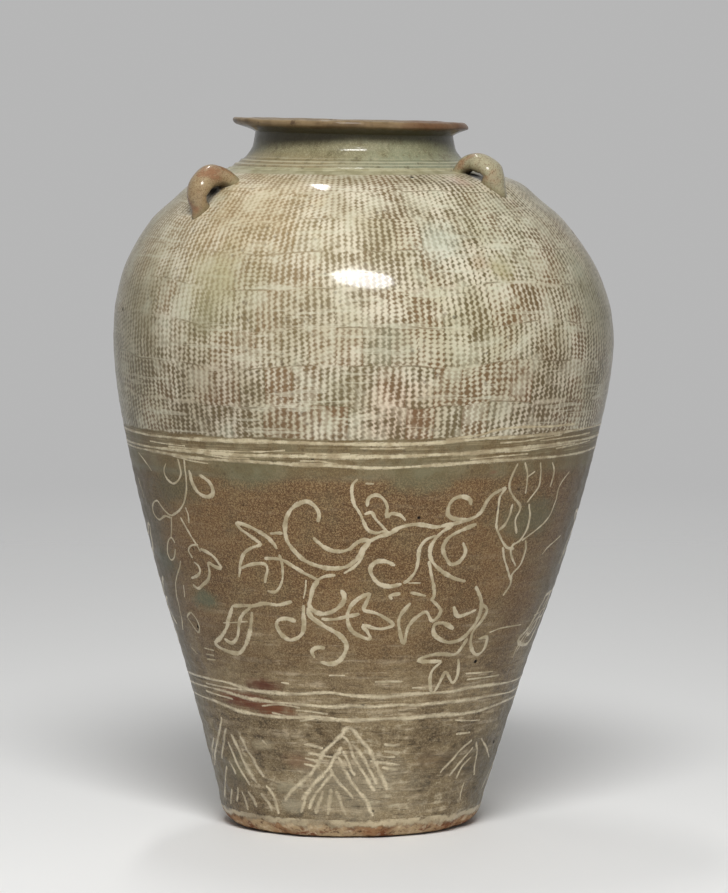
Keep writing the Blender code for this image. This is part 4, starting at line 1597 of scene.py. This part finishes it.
def on_outline(climb, out=0.0):
    """A point of radius and height on the outline, or out from it."""
    point = np.array([np.interp(climb, climbs, outline[:, side]) for side in (0, 1)])
    ahead = np.array([np.interp(climb + row_length, climbs, outline[:, side]) for side in (0, 1)]) - point
    ahead = ahead / np.linalg.norm(ahead)
    return point + out * np.array([ahead[1], -ahead[0]])


def beside_outline(points):
    """The climbs of the outline nearest to points of radius and height, and how far out they lie."""
    gaps = np.hypot(*(points[:, None, side] - outline[None, :, side] for side in (0, 1)))
    nearest = gaps.argmin(1)
    ahead = np.gradient(outline, axis=0)[nearest]
    ahead /= np.linalg.norm(ahead, axis=1)[:, None]
    offset = points - outline[nearest]
    return climbs[nearest] + (offset * ahead).sum(1), offset[:, 0] * ahead[:, 1] - offset[:, 1] * ahead[:, 0]


def make_loop(name, spec, material):
    """A coil bent into a loop, its ends pressed on and smeared along the shoulder."""
    azimuth, standoff, run, rise, upper_coil, crown_coil, lower_coil = spec
    upper = on_outline(shoulder_place(collar_radius + standoff))
    lower = on_outline(shoulder_place(collar_radius + standoff + run))
    middle, half = (upper + lower) / 2, (upper - lower) / 2
    up = np.array([-half[1], half[0]]) / np.linalg.norm(half)
    up = up if up[1] > 0 else -up
    section = np.arange(coil_columns) * 2 * pi / coil_columns
    outer_side = np.maximum(0, np.sin(section))

    def arch(turn):
        along = np.sign(cos(turn)) * abs(cos(turn)) ** arch_roundness
        high = np.sign(sin(turn)) * abs(sin(turn)) ** arch_roundness
        return middle + half * along + up * rise * high - half / np.linalg.norm(half) * crown_sag * sin(turn)

    rings, marks = [], []
    for row, turn in enumerate(np.linspace(*coil_turn, coil_rows)):
        centre = arch(turn)
        ahead = arch(turn + 0.02) - centre
        ahead /= np.linalg.norm(ahead)
        at_upper = turn < pi / 2
        towards_foot = min(1.0, abs(cos(turn))) ** 2
        coil = crown_coil + ((upper_coil if at_upper else lower_coil) - crown_coil) * towards_foot
        flat = coil_flatness[1] + (coil_flatness[0 if at_upper else 2] - coil_flatness[1]) * towards_foot
        lumps = 1 + 0.03 * np.sin(section * 2 + row * 0.16)
        lumps = lumps + 0.025 * np.sin(section * 3 - row * 0.10 + azimuth * 5)
        lumps = lumps + 0.02 * sin(row * 0.36 + azimuth * 9)
        out = coil * lumps * np.sin(section)
        places = centre + np.stack([-out * ahead[1], out * ahead[0]], 1)
        climb, height = beside_outline(places)
        near = np.exp(-((np.maximum(0, height) / smear_reach) ** 2))
        smear = near * (upper_smear * outer_side if at_upper else -lower_smear * outer_side**3)
        places = np.stack([on_outline(c, h) for c, h in zip(climb + smear, height)])
        flare = upper_flare if at_upper else lower_flare
        side = (flat * coil * lumps + flare * near**1.5 * (1 - outer_side)) * np.cos(section)
        x = places[:, 0] * sin(azimuth) + side * cos(azimuth)
        y = -places[:, 0] * cos(azimuth) + side * sin(azimuth)
        rings.append(settled(np.stack([x, y, places[:, 1]], -1)))
        marks.append((1 - np.clip(height / 0.006, 0, 1)) * (1 if at_upper else -1))
    ends = rings[0].mean(0), rings[-1].mean(0)
    made = turned_skin(name + "_coil", np.stack(rings), marks, False, *ends)
    face_outwards(made.data)
    finish(made, material, name)


# Slip strokes: closed ribbons that stand a hair proud of the wall

section_across = (-1.0, -0.6, 0.0, 0.6, 1.0, 0.6, -0.6)
section_lift = (-0.35, 0.7, 1.0, 0.7, -0.35, -4.0, -4.0)


def read_stroke(text):
    """The pixels written out in a stroke."""
    return [tuple(float(value) for value in pair.split(",")) for pair in text.split()]


def stroke_path(pixels):
    """A smooth path on the wall through pixels: angles and climbs a small step apart."""
    angle, climb = wall_places(pixels)
    radius = np.interp(climb, climbs, outline[:, 0])
    middle = radius.mean()
    flat = np.stack([angle * middle, climb], 1)
    flat = smooth_through(flat, 7) if len(flat) > 2 else np.linspace(flat[0], flat[1], 8)
    lengths = climbs_of(flat)
    goals = np.linspace(0, lengths[-1], max(4, int(lengths[-1] / stroke_step)))
    return np.interp(goals, lengths, flat[:, 0]) / middle, np.interp(goals, lengths, flat[:, 1])


def ribbon(angle, climb, width, closed, seed, proud, fullness):
    """Rings of points, faces and corner places of one slip stroke."""
    radius = np.interp(climb, climbs, outline[:, 0])
    count = len(angle)
    if closed:
        turn_angle = (np.roll(angle, -1) - np.roll(angle, 1) + pi) % (2 * pi) - pi
        turn_climb = np.roll(climb, -1) - np.roll(climb, 1)
    else:
        turn_angle, turn_climb = np.gradient(angle), np.gradient(climb)
    along = np.stack([turn_angle * radius, turn_climb], 1)
    along /= np.linalg.norm(along, axis=1)[:, None]
    step = np.arange(count)
    swell = 1 + 0.16 * np.sin(step * 0.31 + seed) + 0.10 * np.sin(step * 0.83 + seed * 2.1)
    if closed:
        swell = 1 + 0.18 * np.sin(angle * 9 + seed) + 0.12 * np.sin(angle * 23 + seed * 2)
        swell = swell * (0.55 + 0.45 * eased(np.abs(np.cos(angle)), 0.35, 0.85))
    else:
        ends = np.minimum(step + 0.6, count - 0.4 - step) * stroke_step / width
        swell = swell * np.sqrt(np.clip(ends * 1.1, 0.05, 1))
    half = fullness * width / 2 * swell
    rings = []
    for across, lift in zip(section_across, section_lift):
        side = across * half
        rings.append(on_wall(angle - side * along[:, 1] / radius, climb + side * along[:, 0], lift * proud))
    rings = np.stack(rings, 1)
    size = len(section_across)
    segments = np.arange(count if closed else count - 1)
    ahead = (segments + 1) % count
    u = (angle + pi) / (2 * pi)
    u_ahead = np.where(ahead == 0, u[ahead] + 1, u[ahead]) if closed else u[ahead]
    faces, wall_map, stroke_map = [], [], []
    for k in range(size):
        n = (k + 1) % size
        quad = [segments * size + k, ahead * size + k, ahead * size + n, segments * size + n]
        faces.append(np.stack(quad, 1))
        low, high = climb[segments], climb[ahead]
        wall_map.append(np.stack([u[segments], low, u_ahead, high, u_ahead, high, u[segments], low], 1))
        metres = segments * stroke_step
        near, far = (np.full_like(metres, section_across[side]) for side in (k, n))
        stroke_map.append(np.stack([metres, near, metres, near, metres, far, metres, far], 1))
    faces = np.concatenate(faces).tolist()
    wall_map = np.concatenate(wall_map).reshape(-1, 2).tolist()
    stroke_map = np.concatenate(stroke_map).reshape(-1, 2).tolist()
    if not closed:
        for row, face in ((0, list(range(size))), (count - 1, list(range(size))[::-1])):
            faces.append([row * size + k for k in face])
            wall_map += [(u[row], climb[row])] * size
            stroke_map += [(row * stroke_step, section_across[k]) for k in face]
    return rings.reshape(-1, 3), faces, wall_map, stroke_map


def slip_piece(name, ribbons, material, fullness):
    """One piece from many strokes, as much fuller than their cut lines as their soft edges need."""
    points, faces, wall_map, stroke_map = [], [], [], []
    total = 0
    for index, line in enumerate(ribbons):
        proud = slip_proud * (1 + 0.5 * ((index * 0.618) % 1))
        part, part_faces, part_wall, part_stroke = ribbon(*line, index * 1.7, proud, fullness)
        points.append(part)
        faces += [[corner + total for corner in face] for face in part_faces]
        wall_map += part_wall
        stroke_map += part_stroke
        total += len(part)
    made = mesh_object(name, np.concatenate(points), faces, {"around_up": wall_map, "stroke": stroke_map})
    face_outwards(made.data)
    finish(made, material)


def band_ribbon(width, text):
    """A line all round the jar: as in the photograph in front, and wandering on behind."""
    angle, climb = wall_places(read_stroke(text))
    order = np.argsort(angle)
    angle, climb = angle[order], climb[order]
    whole = np.arange(900) * 2 * pi / 900 - pi
    known = np.concatenate([angle - 2 * pi, angle, angle + 2 * pi])
    levels = np.interp(whole, known, np.tile(climb, 3))
    behind = eased(np.abs(whole), 1.15, 1.6)
    levels = levels + behind * 0.0009 * np.sin(whole * 3 + width * 9000)
    levels = levels + 0.00035 * np.sin(whole * 7 + width * 5000)
    window = np.hanning(25) / np.hanning(25).sum()
    wrapped = np.concatenate([levels[-12:], levels, levels[:12]])
    return whole, np.convolve(wrapped, window, "valid"), width, True


def front_ribbons(strokes, turn=0.0):
    """Strokes as they lie in the photograph, or turned round the jar."""
    made = []
    for width, text in strokes:
        angle, climb = stroke_path(read_stroke(text))
        made.append((angle + turn, climb, width, False))
    return made


# How much wider than its cut line each kind of slip is made, to leave room for its soft edge
scroll_fullness = 1.14
band_fullness = 1.25
petal_fullness = 1.5


def make_decoration(ground):
    """The bands, the vine scroll and the lotus petals, in front as seen and repeated round the jar."""
    scroll = (fired(190, 177, 149), fired(162, 148, 117))
    band = (fired(196, 183, 152), fired(166, 150, 118))
    petal = (fired(202, 188, 158), fired(176, 162, 134))
    pale = slip_inlay("scroll_slip", ground, *scroll, wear=0.34, brushiness=0.8, softness=0.18)
    bands = slip_inlay("band_slip", ground, *band, wear=0.42, brushiness=2.0, softness=0.55)
    worn = slip_inlay("petal_slip", ground, *petal, wear=0.42, brushiness=1.0, softness=0.70)
    for name, lines, marks, material, fullness in (
        ("upper", upper_bands, upper_brush_marks, bands, band_fullness),
        ("lower", lower_bands, lower_brush_marks, worn, petal_fullness),
    ):
        slip_piece(name + "_band_lines", [band_ribbon(*line) for line in lines], material, fullness)
        brushed = front_ribbons(marks) + front_ribbons(marks, pi)
        slip_piece(name + "_band_brush_marks", brushed, material, fullness)
    slip_piece("vine_scroll_front", front_ribbons(scroll_strokes), pale, scroll_fullness)
    slip_piece("vine_scroll_back", front_ribbons(scroll_strokes, pi), pale, scroll_fullness)
    branch = scroll_strokes[branch_strokes[0] : branch_strokes[1]]
    sides = front_ribbons(branch, branch_turns[0]) + front_ribbons(branch, branch_turns[1])
    slip_piece("vine_scroll_sides", sides, pale, scroll_fullness)
    front = front_ribbons(petal_strokes)
    for index in range(2, petals_round - 1):
        front += front_ribbons(petal_strokes[:middle_petal_strokes], index * 2 * pi / petals_round)
    slip_piece("lotus_petals", front, worn, petal_fullness)


grain = make_grain()
ground = make_wall_ground(make_stamping(), grain)
wall = wall_glaze("jar_wall_glaze", ground)
make_base(bare_clay(grain, ground))
make_body(wall)
make_collar(neck_glaze(grain))
loop_glazes = {
    "front_left_loop": (fired(138, 102, 74), fired(150, 130, 98)),
    "front_right_loop": (fired(150, 122, 94), fired(160, 154, 126)),
    "back_left_loop": (fired(138, 104, 74), fired(160, 138, 102)),
    "back_right_loop": (fired(140, 112, 80), fired(162, 146, 110)),
}
for name, spec in coil_loops.items():
    make_loop(name, spec, loop_glaze(name + "_glaze", grain, *loop_glazes[name]))
make_decoration(ground)
set_floor()
set_light()
set_camera()
